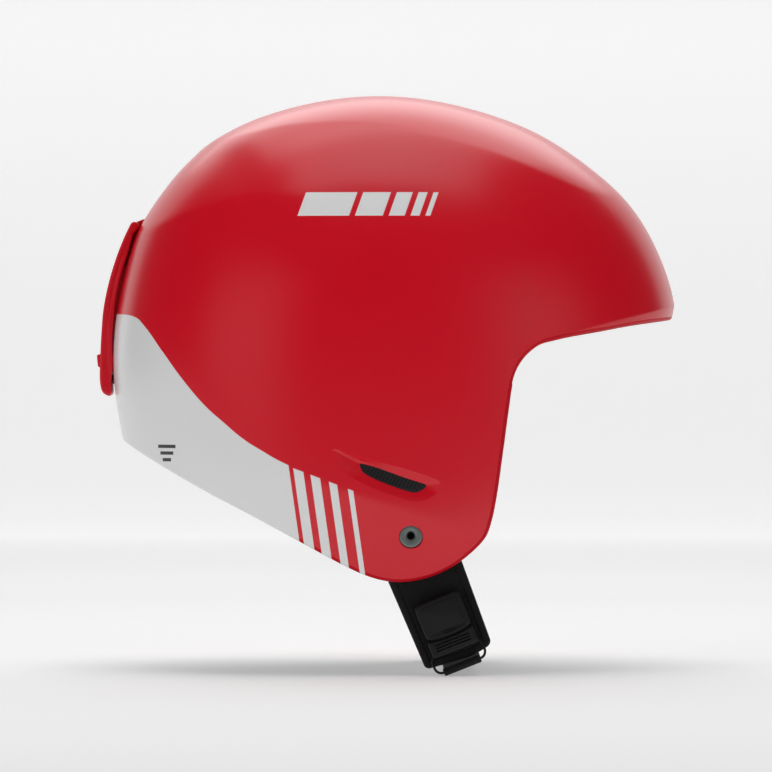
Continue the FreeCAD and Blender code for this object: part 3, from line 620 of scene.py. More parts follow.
stripes = [band(tree, slant, low, high) for low, high in (
    (-48.85, -44.0), (-40.6, -36.0), (-31.8, -27.9), (-22.75, -20.2))]
slope = leaning(tree, up, ahead, -48.9, 0.376)
under_top = add(tree, "Math", {0: -65.2, 1: slope}, operation="SUBTRACT").outputs[0]
stripes = masked(tree, "MINIMUM", masked(tree, "MAXIMUM", *stripes), under_top)
slant = leaning(tree, ahead, up, 67.0, -0.35)
bars = [band(tree, slant, low, high) for low, high in (
    (-45.0, -19.0), (-16.0, -2.0), (1.0, 9.0), (12.0, 16.5), (19.5, 22.0))]
bars = masked(tree, "MINIMUM", masked(tree, "MAXIMUM", *bars), band(tree, up, 62.0, 74.0))
white = masked(tree, "MAXIMUM", panel, stripes, bars)
colour = sprayed(tree, linear("#d4061f"), white, linear("#e4e4e4"))
dashes = []
for level, reach in ((-54.6, 4.6), (-58.0, 3.4), (-61.4, 2.2)):
    row = band(tree, up, level - 0.85, level + 0.85)
    dashes.append(masked(tree, "MINIMUM", row, band(tree, ahead, -113.6 - reach, -113.6 + reach)))
colour = sprayed(tree, colour, masked(tree, "MAXIMUM", *dashes), linear("#1f2022"))
tree.links.new(colour, shader.inputs["Base Color"])
peel = add(tree, "TexNoise", {"Vector": place, "Scale": 0.3, "Detail": 1.0}).outputs[0]
tree.links.new(relief(tree, shader, peel, 0.05, 0.0001), shader.inputs["Coat Normal"])
shell.data.materials.append(shell_paint)

# The inner face stays bare: black ABS as moulded, with a little overspray haze. The same black on the vent opening's
# wall and floor is painted shade for the dark cavity behind the grid.
bare_abs_and_vent_shade, tree, shader = finish_named("bare black ABS, and painted vent shade", Base_Color=linear("#0b0b0c"), Roughness=0.6)
textured(tree, shader, "TexNoise", 700.0, 0.2, 0.0001, Detail=3.0)
shell.data.materials.append(bare_abs_and_vent_shade)

# The rolled edge takes the same spray, but is deeper and duller where the coat pulls thin.
edge_paint = shell_paint.copy()
edge_paint.name = "satin sprayed ABS, rolled edge"
for node in edge_paint.node_tree.nodes:
    if node.type == "MIX" and not node.inputs[6].is_linked:
        node.inputs[6].default_value = linear("#bf0119")
    if node.type == "BSDF_PRINCIPLED":
        node.inputs["Roughness"].default_value = 0.5
        node.inputs["Specular IOR Level"].default_value = 0.15
        node.inputs["Coat Weight"].default_value = 0.0
shell.data.materials.append(edge_paint)


# -------- goggle-strap retainer
# The arm that holds the goggle strap at the back: a flat nylon moulding in the shell's red, with a
# finger tab, hinged at its top between the shell's lug and clipped to a stud at its foot.

HINGE = (-132.3, 58.9)
KNUCKLE_RADIUS = 2.3
ARM_OUTER_EDGE = [
    (-134.4, 59.8), (-137.9, 52.5), (-142.1, 41.6), (-145.8, 29.1), (-148.4, 16.1), (-149.5, 3.6), (-150.1, -8.0),
    (-150.4, -19.0), (-149.9, -24.5), (-148.6, -27.6), (-145.9, -29.1),
]
ARM_INNER_EDGE = [
    (-145.9, -29.1), (-144.5, -28.1), (-144.1, -25.5), (-144.9, -15.0), (-145.8, -3.6), (-145.4, 7.3), (-144.5, 16.0),
    (-142.4, 28.5), (-138.5, 42.1), (-133.9, 53.0), (-130.6, 57.4),
]
LIP_DEPTH = 1.8


def ring_normals(ring):
    """The way out at each point of a closed outline that runs either way round."""
    along = np.roll(ring, -1, axis=0) - np.roll(ring, 1, axis=0)
    out = unit(np.stack([along[:, 1], -along[:, 0]], 1))
    area = (ring[:, 0] * np.roll(ring[:, 1], -1) - np.roll(ring[:, 0], -1) * ring[:, 1]).sum()
    return out if area > 0 else -out


def stack_rings(name, rings, closed=False):
    """A solid from a stack of outlines of 3D points, capped at both ends or closed on itself."""
    count, levels = len(rings[0]), len(rings)
    points = [p for ring in rings for p in ring]
    faces = []
    for k in range(levels if closed else levels - 1):
        low, high = k * count, (k + 1) % levels * count
        faces += [(low + i, low + (i + 1) % count, high + (i + 1) % count, high + i) for i in range(count)]
    if not closed:
        faces += [range(count), range((levels - 1) * count, levels * count)]
    return object_from(name, points, faces)


def rounded_plate(name, ring, low, high, radius, steps=4, taper=None):
    """A plate cut to a side-view outline, from y = low to high, with rounded edges."""
    out = ring_normals(ring)
    turns = np.linspace(0, math.pi / 2, steps + 1)
    levels = [(low + radius * (1 - math.sin(t)), radius * (1 - math.cos(t))) for t in turns[::-1]]
    levels += [(high - radius * (1 - math.sin(t)), radius * (1 - math.cos(t))) for t in turns]
    rings = []
    for y, inset in levels:
        flat = ring - out * inset
        across = np.full(len(flat), y) if taper is None else y * taper(flat[:, 1])
        rings.append(np.stack([flat[:, 0], across, flat[:, 1]], 1))
    return stack_rings(name, rings)


def sharp_shading(obj, degrees=35):
    """Smooth shading that breaks at edges sharper than the angle."""
    limit = math.cos(math.radians(degrees))
    work = bmesh.new()
    work.from_mesh(obj.data)
    for edge in work.edges:
        if len(edge.link_faces) == 2:
            edge.smooth = edge.link_faces[0].normal.dot(edge.link_faces[1].normal) > limit
    work.to_mesh(obj.data)
    work.free()
    return obj


def cut_with(obj, cutter):
    """Takes the cutter's shape out of a piece and deletes the cutter."""
    step = obj.modifiers.new("cut", "BOOLEAN")
    step.object, step.solver = cutter, "EXACT"
    applied(obj)
    bpy.data.objects.remove(cutter)
    return obj


def applied(obj):
    """The object with its modifiers made part of its mesh."""
    bpy.context.view_layer.update()
    made = bpy.data.meshes.new_from_object(obj.evaluated_get(bpy.context.evaluated_depsgraph_get()))
    obj.modifiers.clear()
    obj.data = made
    return obj


def turned(name, profile, centre, side, count=64):
    """A turned piece on an axis across the helmet, from (radius, y) points, closed on itself."""
    angle = np.linspace(0, math.tau, count, endpoint=False)
    rows = [[(centre[0] + r * math.cos(a), side * y, centre[1] + r * math.sin(a)) for a in angle] for r, y in profile]
    return stack_rings(name, rows, closed=True)


def joined(name, pieces):
    """Several objects as one mesh."""
    points, faces = [], []
    for piece in pieces:
        faces += [[len(points) + k for k in face.vertices] for face in piece.data.polygons]
        points += [tuple(c / MM for c in v.co) for v in piece.data.vertices]
        bpy.data.objects.remove(piece)
    return sharp_shading(object_from(name, points, faces), 32)


over = np.linspace(math.radians(-41), math.radians(157), 12)[1:-1]
knuckle = np.stack([HINGE[0] + KNUCKLE_RADIUS * np.cos(over), HINGE[1] + KNUCKLE_RADIUS * np.sin(over)], 1)
arm_ring = np.vstack([even(catmull(ARM_OUTER_EDGE, 8), 70), even(catmull(ARM_INNER_EDGE, 8), 70)[1:], knuckle])


def arm_taper(z):
    """The arm's width at a height, as a share of its width at the hinge."""
    return 1 - 0.17 * np.clip((45 - z) / 75, 0, 1)


arm = rounded_plate("arm_strip", arm_ring, -16.3, 16.3, 1.1, taper=arm_taper)
slot_for_lug = turned("lug_slot", [(0.01, -6.3), (6.5, -6.3), (6.5, 6.3), (0.01, 6.3)], HINGE, 1)
cut_with(arm, slot_for_lug)
# Two lips under the arm's edges close the gap that the goggle strap lies in.
edge = even(catmull(ARM_INNER_EDGE, 8), 90)
edge = edge[(edge[:, 1] > -21) & (edge[:, 1] < HINGE[1] - 4)]
depth = LIP_DEPTH * np.sin(np.clip(np.linspace(0, math.pi, len(edge)) * 3, 0, math.pi / 2))
depth = np.minimum(depth, depth[::-1])
lip_ring = np.vstack([(edge - [0.7, 0])[::-1], edge + np.stack([depth + 0.05, 0 * depth], 1)])
lips = [rounded_plate("arm_lip", lip_ring, low, low + 1.3, 0.3, steps=2, taper=arm_taper) for low in (-16.2, 14.9)]
arm = sharp_shading(joined("retainer_arm_moulding", [arm] + lips))
tab_ring = np.array([
    (-147.6, -7.1), (-151.2, -7.4), (-152.1, -8.2), (-151.6, -13.6), (-150.8, -14.3), (-147.6, -14.7)])
tab_ring = even(np.vstack([tab_ring, tab_ring[:1]]), 61)[:-1]
tab = sharp_shading(rounded_plate("retainer_finger_tab", tab_ring, -10.0, 10.0, 0.8, steps=3))

# Nylon moulded in the shell's red, a little glossier than the paint.
red_nylon, tree, shader = finish_named("moulded red nylon", Base_Color=linear("#d4061f"), Roughness=0.32, IOR=1.53)
textured(tree, shader, "TexNoise", 900.0, 0.12, 0.0001, Detail=3.0)
for piece in (arm, tab):
    piece.data.materials.clear()
    piece.data.materials.append(red_nylon)
    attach(piece, "retainer")
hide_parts("retainer_arm")


def refinish(material_made, *nodes):
    """Gives CAD pieces that stay as they are their finish."""
    for node in nodes:
        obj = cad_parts[node]
        obj.data.materials.clear()
        obj.data.materials.append(material_made)


refinish(red_nylon, "retainer_base", "retainer_stud")

# Zinc-plated steel for pins, rivets and eyelets: satin, faintly blue.
plated_steel, tree, shader = finish_named(
    "zinc-plated steel", Base_Color=linear("#a9adb0"), Metallic=1.0, Roughness=0.36)
textured(tree, shader, "TexNoise", 1500.0, 0.1, 0.00005, Detail=2.0)
refinish(plated_steel, "retainer_pin", "upper_rivet", "lower_rivet", "left_eyelet", "right_eyelet")


# -------- foam liners and ear cups
# Moulded EPP foam: an outer liner bonded in the shell, a slip disc, an inner liner that turns in
# it, and a foam cup at each ear. Matt charcoal, with the fused beads showing 3 mm across.

# Steam-moulded beads: dull charcoal, darker in the seams where they fuse.
foam, tree, shader = finish_named("moulded EPP bead foam", Base_Color=linear("#1d1e20"), Roughness=0.88)
place = add(tree, "TexCoord").outputs["Object"]
seams = add(tree, "TexVoronoi", {"Vector": place, "Scale": 330.0}, feature="DISTANCE_TO_EDGE").outputs[0]
seams = add(tree, "MapRange", {0: seams, 1: 0.0, 2: 0.12, 3: 0.0, 4: 1.0}).outputs[0]
shaded(tree, shader, seams, "#111113", "#232427")
relief(tree, shader, seams, 0.45, 0.0003)
refinish(foam, "outer_liner", "inner_liner", "left_ear_foam", "right_ear_foam")

# Silicone rubber, moulded thin: dark grey and half matt, as a slip disc has to be smooth.
rubber, tree, shader = finish_named("moulded silicone rubber", Base_Color=linear("#2a2a2c"), Roughness=0.6)
textured(tree, shader, "TexNoise", 1200.0, 0.1, 0.0001)
refinish(rubber, "slip_disc")


# -------- vent screens
# Behind each side vent, a moulded nylon grid with a narrow frame, pushed into the ear foam.

SCREEN_DEPTH = SCOOP_DEPTH + 0.35
BAR_WIDTH = 0.55
BAR_DEEP = 0.7


def box_between(start, end, across, side, depth, deep):
    """The eight corners of a bar from start to end in the side view, let in below the skin."""
    corners = np.array([start + across, start - across, end - across, end + across])
    level = np.abs(skin(corners[:, 0], corners[:, 1])[:, 1])
    return [(x, side * (y - sunk_by), z) for sunk_by in (depth, depth + deep) for (x, z), y in zip(corners, level)]


BOX_FACES = [(0, 1, 2, 3), (7, 6, 5, 4), (0, 4, 5, 1), (1, 5, 6, 2), (2, 6, 7, 3), (3, 7, 4, 0)]


def grid_bars(outline, lean, pitch):
    """Bars that cross an outline at an angle, as pairs of end points, and the way across them."""
    along = np.array([math.cos(lean), math.sin(lean)])
    across = np.array([-along[1], along[0]])
    levels = outline @ across
    runs = []
    for level in np.arange(levels.min() + pitch / 2, levels.max(), pitch):
        crossings = []
        for a, b in zip(outline, np.roll(outline, -1, axis=0)):
            at_a, at_b = a @ across - level, b @ across - level
            if at_a * at_b < 0:
                crossings.append((a + (b - a) * at_a / (at_a - at_b)) @ along)
        if len(crossings) == 2:
            runs.append([along * c + across * level for c in sorted(crossings)])
    return runs, across * BAR_WIDTH / 2


def vent_grid(name, side):
    """The frame and the two families of bars as one mesh."""
    outline = vent_loop + ring_normals(vent_loop) * 0.2
    points, faces = [], []
    for lean, pitch in ((math.radians(-13), 1.55), (math.radians(62), 1.75)):
        runs, across = grid_bars(outline, lean, pitch)
        for start, end in runs:
            faces += [tuple(len(points) + k for k in face) for face in BOX_FACES]
            points += box_between(start, end, across, side, SCREEN_DEPTH, BAR_DEEP)
    for a, b in zip(outline, np.roll(outline, -1, axis=0)):
        run = b - a
        across = np.array([-run[1], run[0]]) / max(np.linalg.norm(run), 1e-6) * 0.6
        faces += [tuple(len(points) + k for k in face) for face in BOX_FACES]
        points += box_between(a, b, across, side, SCREEN_DEPTH - 0.15, BAR_DEEP + 0.4)
    return object_from(name, points, faces, smooth=False)


# Glass-filled nylon, moulded black with a fine spark-eroded texture.
black_plastic, tree, shader = finish_named("moulded black nylon", Base_Color=linear("#09090a"), Roughness=0.6, IOR=1.5)
textured(tree, shader, "TexNoise", 1400.0, 0.25, 0.0001, Detail=4.0)

# The same nylon from a polished tool, so that its narrow bars catch some light, and coloured lighter than the black
# nylon: painted light on the bars.
vent_grid_painted_light_plastic, tree, shader = finish_named("polished black nylon, painted lighter", Base_Color=linear("#232326"), Roughness=0.4)
textured(tree, shader, "TexNoise", 1400.0, 0.1, 0.0001, Detail=2.0)
for side, word in ((-1, "right"), (1, "left")):
    screen = vent_grid(word + "_vent_grid", side)
    screen.data.materials.append(vent_grid_painted_light_plastic)
    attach(screen, "helmet")
    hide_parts(word + "_vent_screen")


# -------- strap anchors
# Threaded inserts through the shell under each ear, flanged, that a chin guard can be screwed to.
# A spacer, an eyelet with the strap and a nut sit on each one inside.

BORE_RADIUS = 2.1
THREAD_PITCH = 0.8
insert_profile = [(0.02, 91.6), (BORE_RADIUS, 91.6)]
for k in range(int(12.6 / THREAD_PITCH)):
    root = 91.8 + k * THREAD_PITCH
    insert_profile += [(BORE_RADIUS, root), (BORE_RADIUS - 0.28, root + THREAD_PITCH / 2)]
insert_profile += [
    (BORE_RADIUS, 104.6), (2.3, 105.2), (2.7, 105.45), (2.9, 105.6), (5.2, 105.6), (5.6, 105.45), (5.85, 105.15),
    (5.9, 104.8), (5.9, 103.4), (4.0, 103.4), (4.0, 89.0), (3.6, 88.6), (0.02, 88.6),
]

# Anodised aluminium, turned: satin grey, with fine rings round its axis.
aluminium, tree, shader = finish_named(
    "turned and anodised aluminium", Base_Color=linear("#7d8783"), Metallic=0.6, Roughness=0.5)
place = add(tree, "TexCoord").outputs["Object"]
offset = add(tree, "VectorMath", {0: place, 1: (PIVOT[0] * MM, 0.0, PIVOT[1] * MM)}, operation="SUBTRACT")
flat = add(tree, "VectorMath", {0: offset.outputs[0], 1: (1.0, 0.0, 1.0)}, operation="MULTIPLY").outputs[0]
reach = add(tree, "VectorMath", {0: flat}, operation="LENGTH").outputs["Value"]
turns = add(tree, "Math", {0: reach, 1: math.tau / 0.0004}, operation="MULTIPLY").outputs[0]
rings = add(tree, "Math", {0: turns}, operation="SINE").outputs[0]
relief(tree, shader, rings, 0.12, 0.00004)
for side, word in ((-1, "right"), (1, "left")):
    insert = sharp_shading(turned(word + "_threaded_insert", insert_profile, PIVOT, side), 40)
    insert.data.materials.append(aluminium)
    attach(insert, "helmet")
    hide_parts(word + "_anchor_barrel")
refinish(black_plastic, "left_anchor_spacer", "right_anchor_spacer", "left_anchor_nut", "right_anchor_nut")


# -------- head and ear cushions
# Fabric pads over soft foam: brow, crown, rear and two side pads on the inner liner, and a ring pad in each ear cup.
# Each is sewn round its edge, and the head pads across too, where the cover pulls in.

PAD_VOXEL = 2.6
PAD_SWELL = 1.6
CHANNEL_DEPTH = 1.1
CHANNEL_HALF = 1.1


def mesh_points(mesh):
    """The vertices of a mesh, in millimetres."""
    flat = np.empty(len(mesh.vertices) * 3)
    mesh.vertices.foreach_get("co", flat)
    return flat.reshape(-1, 3) / MM


def set_points(obj, points):
    """Moves an object's vertices, given in millimetres."""
    obj.data.vertices.foreach_set("co", (points * MM).ravel())
    obj.data.update()


def blown_up(obj, frames):
    """Runs cloth with air pressure on a closed mesh and returns where its vertices end."""
    cloth = obj.modifiers.new("stuffing", "CLOTH")
    cloth.settings.use_pressure = True
    cloth.settings.uniform_pressure_force = 4.0
    cloth.settings.quality = 5
    cloth.settings.effector_weights.gravity = 0.0
    cloth.point_cache.frame_start, cloth.point_cache.frame_end = 1, frames
    for number in range(1, frames + 1):
        bpy.context.scene.frame_set(number)
    moved = mesh_points(obj.evaluated_get(bpy.context.evaluated_depsgraph_get()).to_mesh())
    obj.modifiers.clear()
    bpy.context.scene.frame_set(1)
    return moved


def stuffed(name, node, out_way, channels):
    """A pad from its CAD solid: remeshed, inflated, held flat on its backing, then sewn.

    out_way gives the way to the backing at each point. channels are (axis, level) sewn lines.
    """
    pad = bpy.data.objects.new(name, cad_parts[node].data.copy())
    pad.data.materials.clear()
    bpy.context.scene.collection.objects.link(pad)
    remesh = pad.modifiers.new("remesh", "REMESH")
    remesh.mode, remesh.voxel_size = "VOXEL", PAD_VOXEL * MM
    applied(pad)
    rest = mesh_points(pad.data)
    moved = blown_up(pad, 20) - rest
    reach = np.linalg.norm(moved, axis=1, keepdims=True)
    moved *= np.minimum(1.0, PAD_SWELL / np.maximum(reach, 1e-9))
    back = out_way(rest)
    moved -= back * np.maximum((moved * back).sum(1, keepdims=True), 0.0)
    set_points(pad, rest + moved)
    finer = pad.modifiers.new("finer", "SUBSURF")
    finer.levels = finer.render_levels = 1
    applied(pad)
    points = mesh_points(pad.data)
    normals = np.array([tuple(v.normal) for v in pad.data.vertices])
    back = out_way(points)
    facing = (normals * back).sum(1)
    seam = np.exp(-((facing - 0.15) / 0.22) ** 2)
    points -= normals * (seam * 0.7)[:, None]
    for axis, level in channels:
        dip = np.exp(-((points[:, axis] - level) / CHANNEL_HALF) ** 2) * np.clip(-facing, 0, 1)
        points += back * (dip * CHANNEL_DEPTH)[:, None]
    set_points(pad, points)
    pad.data.polygons.foreach_set("use_smooth", [True] * len(pad.data.polygons))
    return pad


def sideways(side):
    """The same way to one side at every point."""
    return lambda points: np.tile((0.0, float(side), 0.0), (len(points), 1))


# Brushed polyester knit over foam: soft charcoal with a short nap.
lining, tree, shader = finish_named(
    "brushed polyester lining", Base_Color=linear("#202124"), Roughness=0.92, Sheen_Weight=0.35, Sheen_Roughness=0.5)
place = add(tree, "TexCoord").outputs["Object"]
nap = add(tree, "TexNoise", {"Vector": place, "Scale": 2400.0, "Detail": 3.0}).outputs[0]
shaded(tree, shader, nap, "#17181a", "#2b2c30")
textured(tree, shader, "TexVoronoi", 1100.0, 0.5, 0.0002)
PADS = [
    ("crown", "head_liner", unit, [(0, 0.0), (1, 0.0)]),
    ("brow", "head_liner", unit, [(1, -33.0), (1, 0.0), (1, 33.0)]),
    ("rear", "head_liner", unit, [(1, -27.0), (1, 27.0)]),
    ("right_side", "head_liner", unit, [(0, 2.0)]),
    ("left_side", "head_liner", unit, [(0, 2.0)]),
    ("right_ear", "helmet", sideways(-1), []),
    ("left_ear", "helmet", sideways(1), []),
]
for word, body, out_way, channels in PADS:
    node = word + "_pad"
    pad = stuffed(word + "_cushion", node, out_way, channels)
    pad.data.materials.append(lining)
    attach(pad, body)
    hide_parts(node)


# -------- padded strap sleeves
# A soft sleeve over each side of the chin strap: two layers of black microfibre over thin foam,
# bound at the edge and topstitched 4 mm in.

STRAP_TILT = math.radians(21.6)
STRAP_PLANE = 91.3
SLEEVE_TOP, SLEEVE_END, SLEEVE_REACH = 14.0, 67.8, 68.4
SLEEVE_CUT = 0.095  # how much lower the front corner is cut than the back, per millimetre across
LEFT_TRIM = 1.2  # taken off each edge of the left sleeve, to clear its ear cup as the liner turns
SLEEVE_TOP_HALF, SLEEVE_END_HALF = 19.4, 17.9
SLEEVE_HALF_THICK = 2.6
BINDING = 4.2


def on_strap(across, down, plane):
    """A point given across the strap, down it from its pivot, and out to a side."""
    x = PIVOT[0] + across * math.cos(STRAP_TILT) + down * math.sin(STRAP_TILT)
    z = PIVOT[1] + across * math.sin(STRAP_TILT) - down * math.cos(STRAP_TILT)
    return (x, plane, z)


def sleeve_half_width(down):
    """Half the sleeve's width at a distance below the pivot."""
    return SLEEVE_TOP_HALF + (SLEEVE_END_HALF - SLEEVE_TOP_HALF) * (down - SLEEVE_TOP) / (SLEEVE_END - SLEEVE_TOP)


def sleeve_point(side, fraction, share, face):
    """A point on the sleeve: fraction -1 to 1 across, share 0 to 1 down, face 1 out and -1 in."""
    across = fraction * SLEEVE_END_HALF
    end = min(SLEEVE_END + SLEEVE_CUT * across, math.sqrt(SLEEVE_REACH ** 2 - across ** 2))
    if abs(fraction) > 0.86:
        end -= 2.4 * (1 - math.sqrt(max(0.0, 1 - ((abs(fraction) - 0.86) / 0.14) ** 2)))
    down = SLEEVE_TOP + share * (end - SLEEVE_TOP)
    half = sleeve_half_width(down) - (LEFT_TRIM if side > 0 else 0.0)
    across = fraction * half
    margin = min(half - abs(across), end - down)
    crown = min(1.0, 0.12 + 0.88 * math.sqrt(max(0.0, 1 - (1 - min(1.0, max(margin, 0.0) / 2.4)) ** 2)))
    thick = SLEEVE_HALF_THICK * crown
    thick -= 0.75 * math.exp(-((margin - BINDING) / 0.55) ** 2) + 0.25 * math.exp(-((margin - 1.4) / 1.3) ** 2)
    thick -= 0.22 * (1 + math.sin(0.5 * down + 1.4 * math.sin(0.2 * across + side)) * math.cos(0.37 * across)) * (
        1.0 if margin > BINDING + 1 else 0.2)
    return on_strap(across, down, side * (STRAP_PLANE + face * max(thick, 0.15)))


def sleeve(name, side):
    """The sleeve as a stack of flat rings down the strap."""
    spread = np.sin(np.linspace(-math.pi / 2, math.pi / 2, 111))
    shares = 1 - (1 - np.linspace(0, 1, 120)) ** 1.25
    rings = []
    for share in shares:
        front = [sleeve_point(side, f, share, 1) for f in spread]
        rings.append(front + [sleeve_point(side, f, share, -1) for f in spread[-2:0:-1]])
    return stack_rings(name, rings)


def stitch_row(points, way, length=2.2, gap=1.0, radius=0.22):
    """Short thread stitches along a path: each is a small lens, laid flat along it."""
    points = np.array(points)
    run = np.concatenate([[0], np.cumsum(np.linalg.norm(np.diff(points, axis=0), axis=1))])
    made, faces = [], []
    start = gap
    while start + length < run[-1]:
        levels = np.linspace(start, start + length, 5)
        centres = np.stack([np.interp(levels, run, points[:, k]) for k in range(3)], 1)
        along = centres[-1] - centres[0]
        across = np.cross(along / np.linalg.norm(along), way)
        base = len(made)
        for centre, size in zip(centres, (0.35, 0.9, 1.0, 0.9, 0.35)):
            for k in range(6):
                turn = math.tau * k / 6
                lift = radius * size * math.cos(turn)
                made.append(centre + across * radius * size * math.sin(turn) + np.array(way) * lift)
        for ring in range(4):
            for k in range(6):
                n = (k + 1) % 6
                a, b = base + ring * 6, base + (ring + 1) * 6
                faces.append((a + k, a + n, b + n, b + k))
        faces += [tuple(range(base, base + 6)), tuple(range(base + 24, base + 30))]
        start += length + gap
    return made, faces


def sleeve_stitches(name, side):
    """One row round the outer face and one round the inner face, inside the binding."""
    points, faces = [], []
    for face in (1, -1):
        path = []
        for edge in (-1, 1):
            for share in np.linspace(0.0, 1.0, 80)[::-edge]:
                down = SLEEVE_TOP + share * (SLEEVE_END - BINDING - 0.6 - SLEEVE_TOP)
                half = sleeve_half_width(down)
                fraction = edge * (half - BINDING) / half
                path.append(sleeve_point(side, fraction, (down - SLEEVE_TOP) / (SLEEVE_END - SLEEVE_TOP), face))
        made, some = stitch_row(path, (0.0, side * face, 0.0))
        faces += [tuple(len(points) + k for k in f) for f in some]
        points += made
    return object_from(name, points, faces)


# Microfibre over foam: near black, with a fine knit and a faint nap.
sleeve_fabric, tree, shader = finish_named(
    "black microfibre", Base_Color=linear("#0d0d0e"), Roughness=0.9, Sheen_Weight=0.08, Sheen_Roughness=0.45)
textured(tree, shader, "TexVoronoi", 1700.0, 0.4, 0.00015)

# Bonded polyester sewing thread: a shade lighter than the cloth, with a slight shine from its twist.
thread, tree, shader = finish_named("bonded polyester thread", Base_Color=linear("#1c1c1f"), Roughness=0.7)
textured(tree, shader, "TexWave", 900.0, 0.3, 0.0001)
for side, word, body in ((-1, "right", "right_strap"), (1, "left", "chin_strap")):
    cover = sleeve(word + "_strap_sleeve", side)
    cover.data.materials.append(sleeve_fabric)
    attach(cover, body)
    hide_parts(word + "_sleeve")
    sewing = sleeve_stitches(word + "_sleeve_topstitch", side)
    sewing.data.materials.append(thread)
    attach(sewing, body)


# -------- chin-strap webbing
# Flat polyester webbing, 20 mm by 1.2 mm. The left one loops through its eyelet, runs down and
# crosses under the chin to the wire bail, goes round it and is sewn back on itself.

WEB_HALF = 10.0
WEB_THICK = 1.2
BAR_PLANE, BAR_DOWN, BAR_TURN = -96.6, 70.6, 1.4


def ribbon(name, route):
    """A flat band along a route of (plane, down) points, lying square to the strap's own plane."""
    path = even(catmull(route, 10), 260)
    along = unit(np.gradient(path, axis=0))
    rings, measure = [], []
    run = np.concatenate([[0], np.cumsum(np.linalg.norm(np.diff(path, axis=0), axis=1))])
    spread = [(-1.0, 0.25), (-0.975, 0.75), (-0.93, 1.0)] + [(f, 1.0) for f in np.linspace(-0.84, 0.84, 15)]
    spread += [(0.93, 1.0), (0.975, 0.75), (1.0, 0.25)]
    for (plane, down), (by_plane, by_down), level in zip(path, along, run):
        normal = (-by_down, by_plane)
        ring = []
        for face in (1, -1):
            for fraction, share in spread[::face]:
                lift = face * WEB_THICK / 2 * share
                ring.append(on_strap(fraction * WEB_HALF, down + normal[1] * lift, plane + normal[0] * lift))
                measure.append((fraction * WEB_HALF * MM, level * MM))
        rings.append(ring)
    band = stack_rings(name, rings)
    layer = band.data.uv_layers.new(name="weave")
    for loop in band.data.loops:
        layer.data[loop.index].uv = measure[loop.vertex_index]
    return band


def eyelet_turn(side):
    """The fold through an eyelet's slot and out to the middle of the strap, as (plane, down)."""
    fold = [(90.0, 18.4), (90.0, 15.0), (90.3, 13.2), (91.3, 12.5), (92.3, 13.2), (92.6, 15.0), (92.4, 18.0)]
    return [(side * plane, down) for plane, down in fold + [(91.6, 21.0), (91.3, 25.0), (91.3, 38.0)]]


right_route = eyelet_turn(-1) + [(-91.3, 52.0)]
chin_route = eyelet_turn(1) + [
    (91.3, 52.0), (91.3, 64.0), (91.2, 67.4), (90.4, 69.8), (88.4, 71.2), (84.0, 71.7), (60.0, 71.9), (25.0, 72.1),
    (-25.0, 72.1), (-60.0, 71.9), (-84.0, 71.8), (-93.0, 71.9),
]
for k in range(7):
    turn = -math.pi / 2 + math.pi * k / 6
    chin_route.append((BAR_PLANE - BAR_TURN * math.cos(turn), BAR_DOWN - BAR_TURN * math.sin(turn)))
chin_route += [(-93.0, 69.4), (-86.0, 70.0), (-80.0, 70.4), (-73.0, 70.4)]

WARP_PITCH, WEFT_PITCH = 0.0009, 0.0016


def thread_backs(tree, measure, pitch):
    """The rounded backs of threads that lie side by side."""
    turn = add(tree, "Math", {0: measure, 1: math.pi / pitch}, operation="MULTIPLY").outputs[0]
    wave = add(tree, "Math", {0: turn}, operation="SINE").outputs[0]
    return add(tree, "Math", {0: wave}, operation="ABSOLUTE").outputs[0]


# Woven polyester: warp threads along it, 0.9 mm apart, and each weft thread crossing over every other.
webbing, tree, shader = finish_named("black polyester webbing", Base_Color=linear("#161617"), Roughness=0.85)
weave = add(tree, "UVMap", uv_map="weave").outputs[0]
across, along = add(tree, "SeparateXYZ", {0: weave}).outputs[:2]
warp = thread_backs(tree, across, WARP_PITCH)
column = add(tree, "Math", {0: across, 1: WARP_PITCH}, operation="DIVIDE").outputs[0]
column = add(tree, "Math", {0: column}, operation="ROUND").outputs[0]
row = add(tree, "Math", {0: along, 1: WEFT_PITCH}, operation="DIVIDE").outputs[0]
row = add(tree, "Math", {0: column, 1: 0.5, 2: row}, operation="MULTIPLY_ADD").outputs[0]
weft = add(tree, "Math", {0: thread_backs(tree, row, 1.0), 1: 0.6}, operation="ADD").outputs[0]
height = add(tree, "Math", {0: warp, 1: weft}, operation="MULTIPLY").outputs[0]
# Painted shade and light: the colour darkens in the hollows between the threads and lightens on their backs.
shaded(tree, shader, height, "#070708", "#151516")
relief(tree, shader, height, 0.6, 0.00025)
for name, route, body, node in (
        ("right_strap_webbing", right_route, "right_strap", "right_webbing"),
        ("chin_strap_webbing", chin_route, "chin_strap", "chin_webbing")):
    band = ribbon(name, route)
    band.data.materials.append(webbing)
    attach(band, body)
    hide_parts(node)

# The box stitch that holds the webbing round the bail.
box = [(-7.0, 82.0), (7.0, 82.0), (7.0, 75.0), (-7.0, 75.0), (-7.0, 82.0), (7.0, 75.0)]
tack_points, tack_faces = [], []
for (a_across, a_plane), (b_across, b_plane) in zip(box, box[1:]):
    path = [on_strap(a_across + (b_across - a_across) * t, 69.75,
                     -(a_plane + (b_plane - a_plane) * t)) for t in np.linspace(0, 1, 12)]
    made, some = stitch_row(path, on_strap(0, -1, 0) - np.array(on_strap(0, 0, 0)), length=1.6, gap=0.6)
    tack_faces += [tuple(len(tack_points) + k for k in f) for f in some]
    tack_points += made
tack = object_from("webbing_box_stitch", tack_points, tack_faces)
tack.data.materials.append(thread)
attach(tack, "chin_strap")


# -------- sliding magnetic buckle
# A socket sewn to the right sleeve, and a latch that slides along a rail under it. Both are
# moulded nylon with a magnet inside. A wire bail hangs from the latch and takes the webbing.

BUCKLE_OUT, BUCKLE_IN = 101.6, 94.3
SOCKET_TOP, SOCKET_END, SOCKET_HALF = 34.2, 53.8, 12.0
LATCH_TOP, LATCH_END, LATCH_HALF = 54.5, 62.4, 12.3


